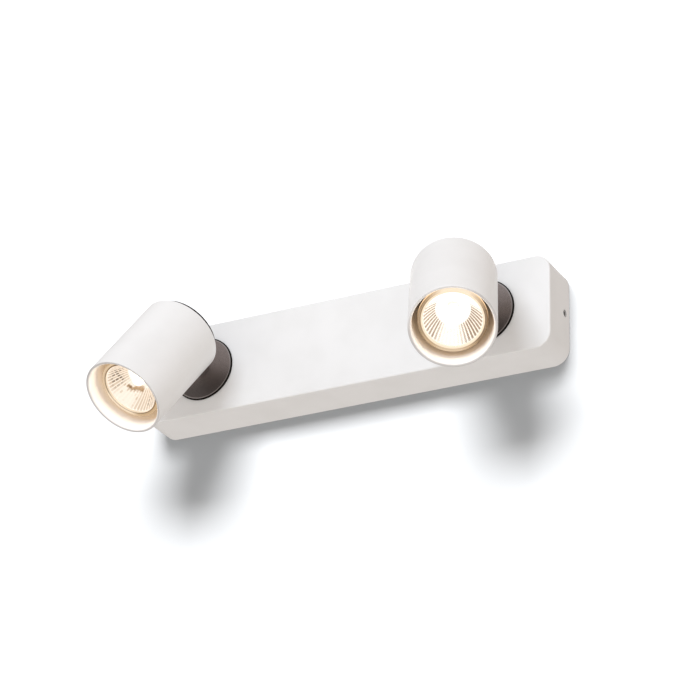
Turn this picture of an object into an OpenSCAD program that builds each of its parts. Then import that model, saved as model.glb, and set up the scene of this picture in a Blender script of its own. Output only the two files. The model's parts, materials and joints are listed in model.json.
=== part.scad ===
// Twin spotlight for a wall: a long shallow base with two tubular lamp heads.
// Each head turns on a round joint disc and tilts on a hollow knuckle that
// enters it through a slot. Millimetres. The origin is the centre of the wall
// face, +X runs along the base, +Y goes into the wall and +Z is up.

/* [Base cover] */
// Length of the base along the wall
base_l = 345; // [325:1:420]
// Height of the base
base_h = 75; // [68:1:95]
// Depth of the base off the wall
base_d = 35; // [32:1:50]
// Corner radius of the base seen from the front
base_corner_r = 12.5; // [6:0.5:16]
// Radius along the front edges of the base
base_edge_r = 1.2; // [0.6:0.1:2]
// Sheet thickness of the cover
cover_t = 1.6; // [1.2:0.1:2.4]

/* [Wall bracket] */
// Sheet thickness of the wall bracket
bracket_t = 1.5; // [1.2:0.1:2]
// Height of the bracket's strip on the wall
bracket_w = 40; // [36:1:44]
// Height of the stiffening edges folded off the wall
bracket_edge_h = 5; // [3:0.5:6]
// Gap between the bracket's end tabs and the cover
bracket_gap = 0.3; // [0.1:0.1:0.6]
// Width of the end tabs
tab_w = 20; // [12:1:28]
// Height of the end tabs off the wall
tab_h = 13; // [11:0.5:18]
// Distance between the two slots for the wall screws
wall_slot_pitch = 150; // [140:1:180]
// Width of a wall screw slot
wall_slot_w = 5; // [4:0.1:6]
// End-to-end length of a wall screw slot
wall_slot_l = 15; // [10:0.5:20]
// Distance between the two round wall screw holes near the ends
wall_hole_pitch = 284; // [270:1:300]
// Diameter of the round wall screw holes
wall_hole_d = 5.2; // [4:0.1:6]

/* [Side screws] */
// Thread diameter of the two side screws
side_screw_d = 5; // [4:0.5:6]
// Length of a side screw
side_screw_l = 6; // [5:0.5:9]
// Distance of the side screws from the wall
side_screw_off = 7.7; // [6:0.1:8.5]
// Clearance round a side screw in the cover
side_screw_clear = 0.4; // [0.2:0.1:0.8]
// How deep a side screw sits below the end face
side_screw_sunk = 1.2; // [0.3:0.1:1.4]

/* [Cable entry] */
// Diameter of the cable hole in the bracket
entry_d = 16; // [14:0.5:20]
// Bore of the rubber grommet
grommet_bore = 9; // [6:0.5:10]
// How far the grommet's flange overlaps the bracket
grommet_lip = 2.5; // [1.5:0.5:4]
// Height of the grommet's collar off the wall
grommet_h = 7; // [5:0.5:9]

/* [Terminal block] */
// Centre of the terminal block along the base
block_x = 42; // [38:1:46]
// Distance between the poles
pole_pitch = 10; // [9:0.5:11]
// Length of the block across the wires
block_w = 18; // [16:0.5:22]
// Height of the block off the bracket
block_h = 14; // [12:0.5:16]
// Height of the wire tunnels above the bracket
tunnel_off = 7.5; // [7:0.25:8.5]
// Outer diameter of the brass sleeves
sleeve_d = 5; // [4.6:0.1:5.4]
// Bore of the brass sleeves
sleeve_bore = 3.4; // [3:0.1:3.8]
// Diameter of the clamping screws
clamp_screw_d = 2.6; // [2:0.1:3]

/* [Leads] */
// Diameter of an insulated lead
lead_d = 1.8; // [1.4:0.1:2]
// Height above the base's axis at which the leads run along the base
lead_lane = 24; // [23:0.5:26]
// Height off the wall at which the leads turn towards a joint
lead_turn = 10; // [9:0.5:12]
// Gap between two leads that run side by side
lead_gap = 0.4; // [0.3:0.1:0.6]

/* [Swivel joint] */
// Distance of a joint axis from the base's end
spot_inset = 54; // [44:0.5:62]
// Diameter of the round joint disc
disc_d = 51.3; // [40:0.1:56]
// Thickness of the joint disc
disc_t = 1.2; // [1:0.1:2]
// Diameter of the threaded nipple through the cover
nipple_d = 10; // [9:0.5:12]
// How far the nipple reaches in behind the cover's front
nipple_reach = 10; // [9:0.5:12]
// Bore for the leads through nipple and neck
neck_bore = 6.6; // [6:0.2:7.6]
// Diameter of the neck between disc and head
neck_d = 12; // [11:0.5:13]
// Height of the tilt axis above the base's front face
pivot_h = 30; // [27:0.5:36]
// Thickness of a washer behind the cover
washer_t = 1; // [0.8:0.1:1.4]
// Thickness of the hexagon nut on the nipple
nut_t = 3; // [2.5:0.5:3.5]
// Width across the flats of the nut on the nipple
nut_af = 14; // [13.5:0.5:17]
// Radius at which the turning stop works
stop_r = 13; // [12:0.5:15]
// Width of the stop finger and of the stop peg
stop_w = 2; // [1.6:0.1:2.2]

/* [Tilt joint] */
// Radius of the knuckle round the tilt axis
knuckle_r = 6.5; // [6:0.1:7]
// Width of the slot that parts the knuckle's two ears
fork_gap = 6; // [5:0.2:6.4]
// Diameter of the tilt bolt
tilt_bolt_d = 4; // [3:0.5:4.5]
// Thickness of the friction washers beside the knuckle
friction_t = 0.4; // [0.3:0.1:0.8]
// Thickness of the two cheeks that hold the tilt bolt
cheek_t = 3.5; // [3:0.5:5]
// Distance of the tilt axis from the head's own axis
pivot_off = 15.7; // [15:0.1:16.5]
// Distance of the tilt axis in front of the tube's rear edge
pivot_in = 2.7; // [2.4:0.1:3]

/* [Lamp head] */
// Outer diameter of the head's tube
head_d = 63.5; // [62:0.5:70]
// Wall thickness of the tube
tube_t = 2.6; // [2:0.1:3]
// Length of the tube
tube_l = 83; // [80:0.5:95]
// Rounding of the tube's mouth inside
mouth_r = 2; // [0.6:0.1:2.1]
// Thickness of the rear cap behind the tube
cap_t = 4; // [3:0.1:4.4]
// Wall thickness of the cap's skirt inside the tube
skirt_t = 2; // [1.6:0.1:2.4]
// Length of the cap's skirt inside the tube
skirt_l = 8; // [6:0.5:12]
// Free room between the slot's sides and the knuckle or neck
slot_clear = 0.5; // [0.45:0.05:0.8]

/* [Lamp holder] */
// Height of the holder's bridge above the cap
bridge_h = 11.1; // [10.8:0.1:12]
// Sheet thickness of the bridge
bridge_t = 1.2; // [1:0.1:1.5]
// Half width of the bridge between its feet
bridge_half = 22; // [20:0.5:22.5]
// Length of the ceramic holder across its pins
holder_l = 28; // [26:0.5:32]
// Width of the ceramic holder
holder_w = 16; // [14:0.5:17]
// Height of the ceramic holder
holder_h = 13; // [11:0.5:14]

/* [Lamp] */
// Rim diameter of the reflector lamp
lamp_d = 50; // [48:0.5:51]
// Diameter of the lamp's front glass
lens_d = 46; // [43:0.5:46.5]
// How far the lamp's face sits inside the tube
lamp_recess = 10.5; // [8:0.5:12]
// Distance between the lamp's two pins
pin_pitch = 10; // [9.5:0.1:10.5]
// Head diameter of a lamp pin
pin_head_d = 5; // [4.6:0.1:5.2]
// Number of ribs in the reflector
ribs = 44; // [24:1:48]
// Height of the reflector's ribs at the rim
rib_h = 0.7; // [0.3:0.1:1]

/* [Pose] */
// Turn of the left head from straight down, towards the right
left_pan = -15.7; // [-30:0.1:30]
// Turn of the right head from straight down, towards the right
right_pan = 18.8; // [-30:0.1:30]
// Tilt of the left head from straight out to straight down
left_tilt = 57; // [0:0.5:90]
// Tilt of the right head from straight out to straight down
right_tilt = 55.6; // [0:0.1:90]

/* [Hidden] */

$fn = 72;
SIDES = [-1, 1];

// Play of a turning fit, on the radius
run_clear = 0.05;
// Play of a fixed fit, on the radius
fit_clear = 0.05;
// Gap between flat faces that slide on each other
face_gap = 0.1;
// How far a cutting shape reaches past what it cuts
over = 1;

// Distance between the two joint axes
spot_pitch = base_l - 2 * spot_inset;

// Wall bracket
bracket_l = base_l - 2 * (cover_t + bracket_gap);

// Grommet
flange_t = 1;
flange_rise = 0.8;
shoulder_w = 2.4;
collar_w = 1.4;

// Screws with a pan head: diameter and height of the head
block_head = [5.4, 1.6];
earth_head = [5.6, 2];
bridge_head = [4.4, 1.8];
holder_head = [4.8, 1.6];
head_room = 0.2;

// Terminal block
poles = 3;
tower_gap = 1;
tower_w = pole_pitch - tower_gap;
block_l = poles * pole_pitch;
web_h = 4;
tunnel_z = bracket_t + tunnel_off;
screw_row = block_w / 4;
block_screw_d = 3;
tower_edge_r = 2.5;
tower_drop = 2;
chimney_t = 1.4;
slit_w = 0.5;
slit_deep = 1;
screw_sunk = 0.8;
screw_foot = 0.6;

// Leads
lead_step = lead_d + lead_gap;
lead_bend = 5;
lead_sides = 8;
bend_steps = 4;
earth_ring_t = 0.8;
earth_ring_r = 3.6;
earth_gap = 2;
earth_x = block_x + block_l / 2 + earth_gap + earth_ring_r;
earth_y = block_w / 2 + 1;
earth_reach = 6;
earth_bend = 3.5;
end_gap = 0.3;

// Parts on the nipple, measured out from the base's front face
disc_top = face_gap + disc_t;
disc_edge_r = 0.4;
slip_r = 10;
washer_r = 9;
slip_z = -cover_t - face_gap - washer_t;
stop_z = slip_z - washer_t;
spring_rise = 0.5;
spring_z = stop_z - washer_t - spring_rise;
nut_z = spring_z - nut_t;
stop_tip = stop_r + stop_w / 2;

// Knuckle and the slot that it works in
knuckle_w = neck_d;
slot_half = neck_d / 2 + slot_clear;
friction_r = 5;
cheek_r = knuckle_r + 0.5;
cheek_out = slot_half + cheek_t;
bolt_head_r = 0.875 * tilt_bolt_d;
bolt_head_h = 0.55 * tilt_bolt_d;
tilt_nut_h = 0.8 * tilt_bolt_d;
tilt_nut_af = 1.75 * tilt_bolt_d;
tilt_tail = 1;
pocket_r = tilt_nut_af / 2 / cos(30) + 0.3;
pocket_l = tilt_nut_h + tilt_tail + 0.5;

// Tube and cap
tube_r = head_d / 2;
bore_r = tube_r - tube_t;
cap_r = bore_r - fit_clear;
cap_edge_r = 0.4;
rim_r = 0.5;
lip_r = min(mouth_r, tube_t - rim_r);

// Bridge and ceramic holder
bridge_w = 14;
foot_len = 4.2;
foot_w = 10;
bridge_screw_d = 3;
bridge_screw_x = bridge_half + bridge_head[0] / 2 + face_gap;
bridge_screw_deep = 2.6;
holder_z = bridge_h;
holder_top = holder_z + holder_h;
holder_corner_r = 3;
holder_screw_in = 3;
holder_screw_x = holder_l / 2 - holder_screw_in;
holder_sunk = 3;
pin_room = 0.3;
holder_lead_x = 3;
holder_lead_z = 6;
holder_lead_out = 4;
holder_lead_bend = 2;
holder_lead_low = 1.6;

// Lamp, measured along the head's axis from the tube's rear edge
lens_t = 1.9;
lens_z = tube_l - lamp_recess - lens_t;
base_low = holder_top + 0.3;
pin_neck_r = 1.5;
pin_neck_l = 4;
pin_head_l = 3;
glass_t = 1.5;
lip_t = (lamp_d - lens_d) / 2 - fit_clear;
bowl_r = lens_d / 2 - 0.6;
throat_r = 9;
focal = 5;
bowl_h = (bowl_r * bowl_r - throat_r * throat_r) / (4 * focal);
throat_z = lens_z - bowl_h;
bowl_rings = 6;
shoulder_l = 6;
lip_step = 0.4;
lip_deep = 2.5;
base_step = 1;
capsule_r = 4.5;
capsule_l = 11;

// Placing

// Turns a shape whose z runs off the wall into the part's frame
module off_wall() {
    rotate([90, 0, 0]) children();
}

// Frame on the base's front face, z off the wall, turned with the joint
module on_swivel(x, pan) {
    translate([x, -base_d, 0]) rotate([0, -pan, 0])
        rotate([90, 0, 0]) children();
}

// Frame of a head: z along its axis, zero at the tube's rear edge
module on_head(x, pan, tilt) {
    translate([x, -base_d - pivot_h, 0]) rotate([tilt, -pan, 0])
        rotate([90, 0, 0]) translate([0, pivot_off, -pivot_in])
        children();
}

module left_swivel() {
    on_swivel(-spot_pitch / 2, left_pan) children();
}

module right_swivel() {
    on_swivel(spot_pitch / 2, right_pan) children();
}

module left_head() {
    on_head(-spot_pitch / 2, left_pan, left_tilt) children();
}

module right_head() {
    on_head(spot_pitch / 2, right_pan, right_tilt) children();
}

// Shapes used more than once

// Flat rectangle with round corners
module round_rect(l, h, r) {
    square([l - 2 * r, h], center = true);
    square([l, h - 2 * r], center = true);
    for (sx = SIDES, sy = SIDES)
        translate([sx * (l / 2 - r), sy * (h / 2 - r)]) circle(r);
}

// Outline w wide and d high whose two upper corners are round
module crowned(w, d, r) {
    translate([-w / 2, 0]) square([w, d - r]);
    translate([-w / 2 + r, 0]) square([w - 2 * r, d]);
    for (s = SIDES) translate([s * (w / 2 - r), d - r]) circle(r);
}

// Box with round corners in plan and a rounded edge round its top face
module crowned_box(l, h, d, corner, edge) {
    rotate([90, 0, 90])
        linear_extrude(l - 2 * corner, center = true)
        crowned(h, d, edge);
    rotate([90, 0, 0])
        linear_extrude(h - 2 * corner, center = true)
        crowned(l, d, edge);
    for (sx = SIDES, sy = SIDES)
        translate([sx * (l / 2 - corner), sy * (h / 2 - corner)])
        rotate_extrude() intersection() {
            crowned(2 * corner, d, edge);
            square([corner, d]);
        }
}

// Ring with a square section
module washer(r, bore, t) {
    difference() {
        cylinder(r = r, h = t);
        translate([0, 0, -over]) cylinder(r = bore, h = t + 2 * over);
    }
}

// Cylinder along x, from x0 to x1
module bar_x(r, x0, x1) {
    translate([x0, 0, 0]) rotate([0, 90, 0]) cylinder(r = r, h = x1 - x0);
}

// Screw along z with its head's underside at zero and a cross recess
module pan_screw(d, l, head) {
    difference() {
        union() {
            translate([0, 0, -l]) cylinder(r = d / 2, h = l);
            cylinder(r = head[0] / 2, h = head[1]);
        }
        for (a = [0, 90]) rotate([0, 0, a])
            translate([-0.3 * head[0], -0.06 * head[0], 0.45 * head[1]])
            cube([0.6 * head[0], 0.12 * head[0], head[1]]);
    }
}

// Slot along x with round ends, cut down from z = 0
module slot_x(w, l, deep) {
    for (s = SIDES) translate([s * (l - w) / 2, 0, -deep])
        cylinder(r = w / 2, h = 2 * deep);
    translate([-(l - w) / 2, -w / 2, -deep]) cube([l - w, w, 2 * deep]);
}

// Leads: a tube along points, with a smooth bend at each inner one

function unit(v) = v / norm(v);

// Points of a bend from a to b round corner p
function bend(a, p, b, r) = let (
    p1 = p + r * unit(a - p), p2 = p + r * unit(b - p))
    [for (i = [0:bend_steps]) let (t = i / bend_steps)
        (1 - t) * (1 - t) * p1 + 2 * t * (1 - t) * p + t * t * p2];

// Route with each inner point bent
function route(pts, r) = [
    pts[0],
    for (i = [1:len(pts) - 2])
        each bend(pts[i - 1], pts[i], pts[i + 1], r),
    pts[len(pts) - 1]];

// Direction of the route at point i
function heading(p, i) = unit(
    p[min(i + 1, len(p) - 1)] - p[max(i - 1, 0)]);

// One ring of the tube's corners, square to the route
function ring(c, dir, r) = let (
    u = unit(cross(dir, [1, 1, 1.3])), v = cross(dir, u))
    [for (k = [0:lead_sides - 1]) let (a = 360 * k / lead_sides)
        c + r * (cos(a) * u + sin(a) * v)];

module lead(pts, bend_r) {
    p = route(pts, bend_r);
    n = len(p);
    m = lead_sides;
    corners = [for (i = [0:n - 1])
        each ring(p[i], heading(p, i), lead_d / 2)];
    sides = [for (i = [0:n - 2], k = [0:m - 1]) let (
        a = i * m + k, b = i * m + (k + 1) % m)
        each [[a, a + m, b], [b, a + m, b + m]]];
    polyhedron(corners, concat(sides,
        [[for (k = [0:m - 1]) k]],
        [[for (k = [m - 1:-1:0]) (n - 1) * m + k]]));
}

// Base

module base_cover() {
    color("white") off_wall() difference() {
        union() {
            difference() {
                crowned_box(base_l, base_h, base_d,
                    base_corner_r, base_edge_r);
                translate([0, 0, -over])
                    linear_extrude(base_d - cover_t + over)
                    round_rect(base_l - 2 * cover_t,
                        base_h - 2 * cover_t,
                        base_corner_r - cover_t);
            }
            // A peg above each joint stops it from turning full circle
            for (s = SIDES)
                translate([s * spot_pitch / 2, stop_r,
                    base_d + stop_z - washer_t / 2])
                cylinder(r = stop_w / 2,
                    h = -stop_z - cover_t + washer_t);
        }
        for (s = SIDES) {
            translate([s * spot_pitch / 2, 0, 0])
                cylinder(r = nipple_d / 2 + run_clear,
                    h = base_d + over);
            translate([s * (base_l / 2 - cover_t / 2), 0, side_screw_off])
                bar_x(side_screw_d / 2 + side_screw_clear,
                    -cover_t, cover_t);
        }
    }
}

module wall_bracket() {
    color("silver") off_wall() difference() {
        union() {
            linear_extrude(bracket_t)
                square([bracket_l, bracket_w], center = true);
            for (s = SIDES) {
                translate([-bracket_l / 2,
                    s * (bracket_w - bracket_t) / 2 - bracket_t / 2, 0])
                    cube([bracket_l, bracket_t, bracket_edge_h]);
                translate([s * (bracket_l - bracket_t) / 2, 0, tab_h / 2])
                    cube([bracket_t, tab_w, tab_h], center = true);
            }
        }
        cylinder(r = entry_d / 2, h = 2 * over + bracket_t, center = true);
        for (s = SIDES) {
            translate([s * wall_slot_pitch / 2, 0, 0])
                slot_x(wall_slot_w, wall_slot_l, bracket_t + over);
            translate([s * wall_hole_pitch / 2, 0, -over])
                cylinder(r = wall_hole_d / 2, h = bracket_t + 2 * over);
            translate([s * bracket_l / 2, 0, side_screw_off])
                bar_x(side_screw_d / 2 + fit_clear,
                    -bracket_t - over, bracket_t + over);
            translate([block_x + s * (block_l / 2 - pole_pitch), 0, -over])
                cylinder(r = block_screw_d / 2 + fit_clear,
                    h = bracket_t + 2 * over);
        }
        translate([earth_x, earth_y, -over])
            cylinder(r = block_screw_d / 2 + fit_clear,
                h = bracket_t + 2 * over);
    }
}

module side_screws() {
    color("dimgray") off_wall() for (s = SIDES)
        translate([s * (base_l / 2 - side_screw_sunk), 0, side_screw_off])
        rotate([0, s * 90, 0]) difference() {
            translate([0, 0, -side_screw_l])
                cylinder(r = side_screw_d / 2, h = side_screw_l);
            translate([0, 0, -side_screw_d / 2])
                cylinder(r = 0.3 * side_screw_d, h = side_screw_d,
                    $fn = 6);
        }
}

module cable_grommet() {
    neck_r = entry_d / 2 - fit_clear;
    lip_r = entry_d / 2 + grommet_lip;
    bore = grommet_bore / 2;
    color("black") off_wall() rotate_extrude() polygon([
        [bore, 0], [neck_r, 0], [neck_r, bracket_t],
        [lip_r, bracket_t], [lip_r, bracket_t + flange_t],
        [bore + shoulder_w, bracket_t + flange_t + flange_rise],
        [bore + collar_w, grommet_h], [bore, grommet_h]]);
}

// Places one child at each pole of the terminal block
module at_poles() {
    for (i = [0:poles - 1])
        translate([block_x + (i - (poles - 1) / 2) * pole_pitch, 0,
            bracket_t])
        children();
}

module terminal_block() {
    color("ivory") off_wall() difference() {
        union() {
            translate([block_x - block_l / 2, -block_w / 2, bracket_t])
                cube([block_l, block_w, web_h]);
            at_poles() {
                rotate([90, 0, 0])
                    linear_extrude(block_w, center = true)
                    crowned(tower_w, block_h - tower_drop, tower_edge_r);
                for (s = SIDES) translate([0, s * screw_row, 0])
                    cylinder(r = clamp_screw_d / 2 + chimney_t,
                        h = block_h);
            }
        }
        at_poles() {
            translate([0, 0, tunnel_off]) rotate([90, 0, 0])
                cylinder(r = sleeve_d / 2 + fit_clear,
                    h = block_w + 2 * over, center = true);
            for (s = SIDES) translate([0, s * screw_row, tunnel_off])
                cylinder(r = clamp_screw_d / 2 + fit_clear, h = block_h);
        }
        for (s = SIDES)
            translate([block_x + s * (block_l / 2 - pole_pitch), 0, 0]) {
                cylinder(r = block_screw_d / 2 + fit_clear,
                    h = bracket_t + web_h + over);
                translate([0, 0, bracket_t + web_h - block_head[1]])
                    cylinder(r = block_head[0] / 2 + fit_clear,
                        h = block_h);
            }
    }
}

module terminal_sleeves() {
    color("goldenrod") off_wall() at_poles()
        translate([0, 0, tunnel_off]) difference() {
            rotate([90, 0, 0]) cylinder(r = sleeve_d / 2,
                h = block_w - 1, center = true);
            rotate([90, 0, 0]) cylinder(r = sleeve_bore / 2,
                h = block_w + over, center = true);
            for (s = SIDES) translate([0, s * screw_row, 0])
                cylinder(r = clamp_screw_d / 2 + fit_clear, h = sleeve_d);
        }
}

module terminal_screws() {
    color("silver") off_wall() at_poles() for (s = SIDES)
        translate([0, s * screw_row, tunnel_off + screw_foot])
        difference() {
            h = block_h - tunnel_off - screw_foot - screw_sunk;
            cylinder(r = clamp_screw_d / 2, h = h);
            translate([-clamp_screw_d, -slit_w / 2, h - slit_deep])
                cube([2 * clamp_screw_d, slit_w, slit_deep + over]);
        }
}

module block_screws() {
    color("silver") off_wall() for (s = SIDES)
        translate([block_x + s * (block_l / 2 - pole_pitch), 0,
            bracket_t + web_h - block_head[1]])
        pan_screw(block_screw_d, bracket_t + web_h - block_head[1],
            block_head);
}

module earth_screw() {
    color("silver") off_wall()
        translate([earth_x, earth_y, bracket_t + earth_ring_t])
        pan_screw(block_screw_d, bracket_t + earth_ring_t, earth_head);
}

// Protective lead from the third pole to a ring under the earth screw
module earth_lead() {
    x = block_x + pole_pitch;
    y = block_w / 2;
    color("yellowgreen") off_wall() {
        lead([[x, y, tunnel_z], [x, y + earth_reach, tunnel_z],
            [earth_x, earth_y + earth_reach, tunnel_z - lead_d / 2],
            [earth_x, earth_y + earth_ring_r + lead_d / 8,
                bracket_t + earth_ring_t / 2]], earth_bend);
        translate([earth_x, earth_y, bracket_t])
            washer(earth_ring_r, block_screw_d / 2 + fit_clear,
                earth_ring_t);
    }
}

// Two leads from the block to the joint on one side, s = -1 left, 1 right
module joint_leads(s) {
    z = tunnel_z - s * lead_step / 2;
    end = base_d - cover_t - nipple_reach - end_gap;
    for (i = [0, 1]) {
        x0 = block_x - (1 - i) * pole_pitch;
        near = s < 0 ? i == 0 : i == 1;
        y1 = lead_lane + (near ? 0 : lead_step);
        x1 = s * spot_pitch / 2 + s * (near ? -1 : 1) * lead_step / 2;
        color(i == 0 ? "saddlebrown" : "royalblue")
            lead([[x0, block_w / 2, z], [x0, y1, z], [x1, y1, z],
                [x1, 0, lead_turn], [x1, 0, end]], lead_bend);
    }
}

module left_leads() {
    off_wall() joint_leads(-1);
}

module right_leads() {
    off_wall() joint_leads(1);
}

// Swivel joint, drawn on the base's front face

module joint_disc() {
    color("dimgray") translate([0, 0, face_gap]) difference() {
        rotate_extrude() intersection() {
            crowned(disc_d, disc_t, disc_edge_r);
            square([disc_d, disc_t]);
        }
        translate([0, 0, -over])
            cylinder(r = nipple_d / 2 + fit_clear, h = disc_t + 2 * over);
    }
}

module neck() {
    color("dimgray") difference() {
        union() {
            translate([0, 0, -cover_t - nipple_reach])
                cylinder(r = nipple_d / 2,
                    h = cover_t + nipple_reach + disc_top);
            translate([0, 0, disc_top])
                cylinder(r = neck_d / 2, h = pivot_h - disc_top);
            translate([0, 0, pivot_h])
                bar_x(knuckle_r, -knuckle_w / 2, knuckle_w / 2);
        }
        translate([0, 0, -cover_t - nipple_reach - over])
            cylinder(r = neck_bore / 2,
                h = cover_t + nipple_reach + pivot_h + over);
        translate([-fork_gap / 2, -2 * knuckle_r,
            pivot_h - knuckle_r + over])
            cube([fork_gap, 4 * knuckle_r, 3 * knuckle_r]);
        translate([0, 0, pivot_h])
            bar_x(tilt_bolt_d / 2 + run_clear, -knuckle_w, knuckle_w);
    }
}

module slip_washer() {
    color("ivory") translate([0, 0, slip_z])
        washer(slip_r, nipple_d / 2 + fit_clear, washer_t);
}

// Washer with a finger that meets the peg in the cover
module stop_washer() {
    color("silver") translate([0, 0, stop_z]) {
        difference() {
            union() {
                cylinder(r = washer_r, h = washer_t);
                translate([-stop_w / 2, -stop_tip, 0])
                    cube([stop_w, stop_tip, washer_t]);
            }
            translate([0, 0, -over])
                cylinder(r = nipple_d / 2 + fit_clear,
                    h = washer_t + 2 * over);
        }
    }
}

module spring_washer() {
    color("silver") translate([0, 0, spring_z])
        rotate_extrude() polygon([
            [nipple_d / 2 + fit_clear, 0],
            [nipple_d / 2 + fit_clear, washer_t],
            [washer_r - 1, washer_t + spring_rise],
            [washer_r - 1, spring_rise]]);
}

module neck_nut() {
    color("silver") translate([0, 0, nut_z]) difference() {
        cylinder(r = nut_af / 2 / cos(30), h = nut_t, $fn = 6);
        translate([0, 0, -over])
            cylinder(r = nipple_d / 2 + fit_clear, h = nut_t + 2 * over);
    }
}

module neck_leads() {
    low = -cover_t - nipple_reach;
    for (s = SIDES)
        color(s < 0 ? "saddlebrown" : "royalblue")
        translate([s * lead_step / 2, 0, low])
        cylinder(r = lead_d / 2, h = pivot_h - knuckle_r - low,
            $fn = 24);
}

// Head, drawn along its own axis

// Room that the neck sweeps through as the head tilts
module neck_sweep() {
    translate([-slot_half, -tube_r - over, -cap_t - over])
        cube([2 * slot_half,
            tube_r + over - pivot_off + knuckle_r + slot_clear,
            cap_t + over + pivot_in + knuckle_r + slot_clear]);
}

module head_tube() {
    color("white") difference() {
        rotate_extrude() {
            translate([bore_r, 0]) square([tube_t, tube_l - lip_r]);
            translate([bore_r + lip_r, 0])
                square([tube_t - lip_r, tube_l - rim_r]);
            intersection() {
                translate([bore_r, tube_l - lip_r])
                    square([lip_r, lip_r]);
                translate([bore_r + lip_r, tube_l - lip_r]) circle(lip_r);
            }
            intersection() {
                translate([tube_r - rim_r, tube_l - rim_r])
                    square([rim_r, rim_r]);
                translate([tube_r - rim_r, tube_l - rim_r]) circle(rim_r);
            }
            translate([bore_r + lip_r, tube_l - lip_r])
                square([tube_t - lip_r - rim_r, lip_r]);
        }
        intersection() {
            neck_sweep();
            union() {
                translate([0, 0, pivot_in]) rotate([90, 0, 0])
                    cylinder(r = slot_half, h = tube_r + 2 * over);
                translate([-slot_half, -tube_r - over, -cap_t - over])
                    cube([2 * slot_half, tube_r + over,
                        cap_t + over + pivot_in]);
            }
        }
    }
}

// Outline of a cheek seen along the tilt axis
module cheek_outline() {
    intersection() {
        union() {
            circle(cheek_r);
            translate([-cheek_r, -pivot_in - cap_t])
                square([2 * cheek_r, pivot_in + cap_t]);
        }
        translate([-2 * cheek_r, -pivot_in - cap_t / 2])
            square(4 * cheek_r);
    }
}

module rear_cap() {
    color("dimgray") difference() {
        union() {
            rotate_extrude() {
                translate([0, -cap_t + cap_edge_r])
                    square([cap_r, cap_t - cap_edge_r]);
                translate([0, -cap_t]) square([cap_r - cap_edge_r, cap_t]);
                translate([cap_r - cap_edge_r, -cap_t + cap_edge_r])
                    circle(cap_edge_r);
                translate([cap_r - skirt_t, -over])
                    square([skirt_t, skirt_l + over]);
            }
            for (s = SIDES)
                translate([s * (slot_half + cheek_t / 2), -pivot_off,
                    pivot_in])
                rotate([90, 0, 90])
                linear_extrude(cheek_t, center = true) cheek_outline();
        }
        neck_sweep();
        translate([0, -pivot_off, pivot_in])
            bar_x(tilt_bolt_d / 2 + fit_clear, -cheek_out - over,
                cheek_out + over);
        // Pockets for the bolt's head and its nut
        for (s = SIDES)
            translate([s * (cheek_out + pocket_l / 2), -pivot_off,
                pivot_in])
            bar_x(pocket_r, -pocket_l / 2, pocket_l / 2);
        for (s = SIDES) translate([s * bridge_screw_x, 0,
            -bridge_screw_deep])
            cylinder(r = bridge_screw_d / 2 + fit_clear,
                h = bridge_screw_deep + over);
    }
}

module tilt_bolt() {
    color("silver") translate([0, -pivot_off, pivot_in]) difference() {
        union() {
            bar_x(tilt_bolt_d / 2, -cheek_out,
                cheek_out + tilt_nut_h + tilt_tail);
            bar_x(bolt_head_r, -cheek_out - bolt_head_h, -cheek_out);
        }
        translate([-cheek_out - bolt_head_h - over, 0, 0])
            rotate([0, 90, 0])
            cylinder(r = 0.35 * tilt_bolt_d, h = bolt_head_h / 2 + over,
                $fn = 6);
    }
}

module tilt_nut() {
    color("silver") translate([cheek_out, -pivot_off, pivot_in])
        rotate([0, 90, 0]) difference() {
            cylinder(r = tilt_nut_af / 2 / cos(30), h = tilt_nut_h,
                $fn = 6);
            translate([0, 0, -over])
                cylinder(r = tilt_bolt_d / 2 + fit_clear,
                    h = tilt_nut_h + 2 * over);
        }
}

module friction_washers() {
    color("ivory") for (s = SIDES)
        translate([s * (slot_half - friction_t / 2), -pivot_off, pivot_in])
        rotate([0, 90, 0]) translate([0, 0, -friction_t / 2])
        washer(friction_r, tilt_bolt_d / 2 + fit_clear, friction_t);
}

// Sheet bridge on the cap that carries the lamp holder
module holder_bridge() {
    color("silver") difference() {
        union() {
            translate([-bridge_half, -bridge_w / 2, bridge_h - bridge_t])
                cube([2 * bridge_half, bridge_w, bridge_t]);
            for (s = SIDES) {
                translate([s * (bridge_half - bridge_t / 2), 0,
                    bridge_h / 2])
                    cube([bridge_t, foot_w, bridge_h], center = true);
                translate([s * (bridge_half + foot_len / 2 - bridge_t / 2),
                    0, bridge_t / 2])
                    cube([foot_len + bridge_t, foot_w, bridge_t],
                        center = true);
            }
        }
        for (s = SIDES) {
            translate([s * bridge_screw_x, 0, -over])
                cylinder(r = bridge_screw_d / 2 + fit_clear,
                    h = bridge_t + 2 * over);
            translate([s * holder_screw_x, 0, bridge_h - bridge_t - over])
                cylinder(r = bridge_screw_d / 2 + fit_clear,
                    h = bridge_t + 2 * over);
        }
    }
}

module bridge_screws() {
    color("silver") for (s = SIDES)
        translate([s * bridge_screw_x, 0, bridge_t])
        pan_screw(bridge_screw_d, bridge_t + bridge_screw_deep - head_room,
            bridge_head);
}

module lamp_holder() {
    color("ivory") translate([0, 0, holder_z]) difference() {
        linear_extrude(holder_h)
            round_rect(holder_l, holder_w, holder_corner_r);
        for (s = SIDES) {
            translate([s * pin_pitch / 2, 0,
                holder_h - pin_neck_l - pin_head_l])
                cylinder(r = pin_head_d / 2 + pin_room, h = holder_h);
            translate([s * holder_screw_x, 0, -over])
                cylinder(r = bridge_screw_d / 2 + fit_clear,
                    h = holder_h + 2 * over);
            translate([s * holder_screw_x, 0, holder_h - holder_sunk])
                cylinder(r = holder_head[0] / 2 + head_room,
                    h = holder_h);
        }
    }
}

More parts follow.
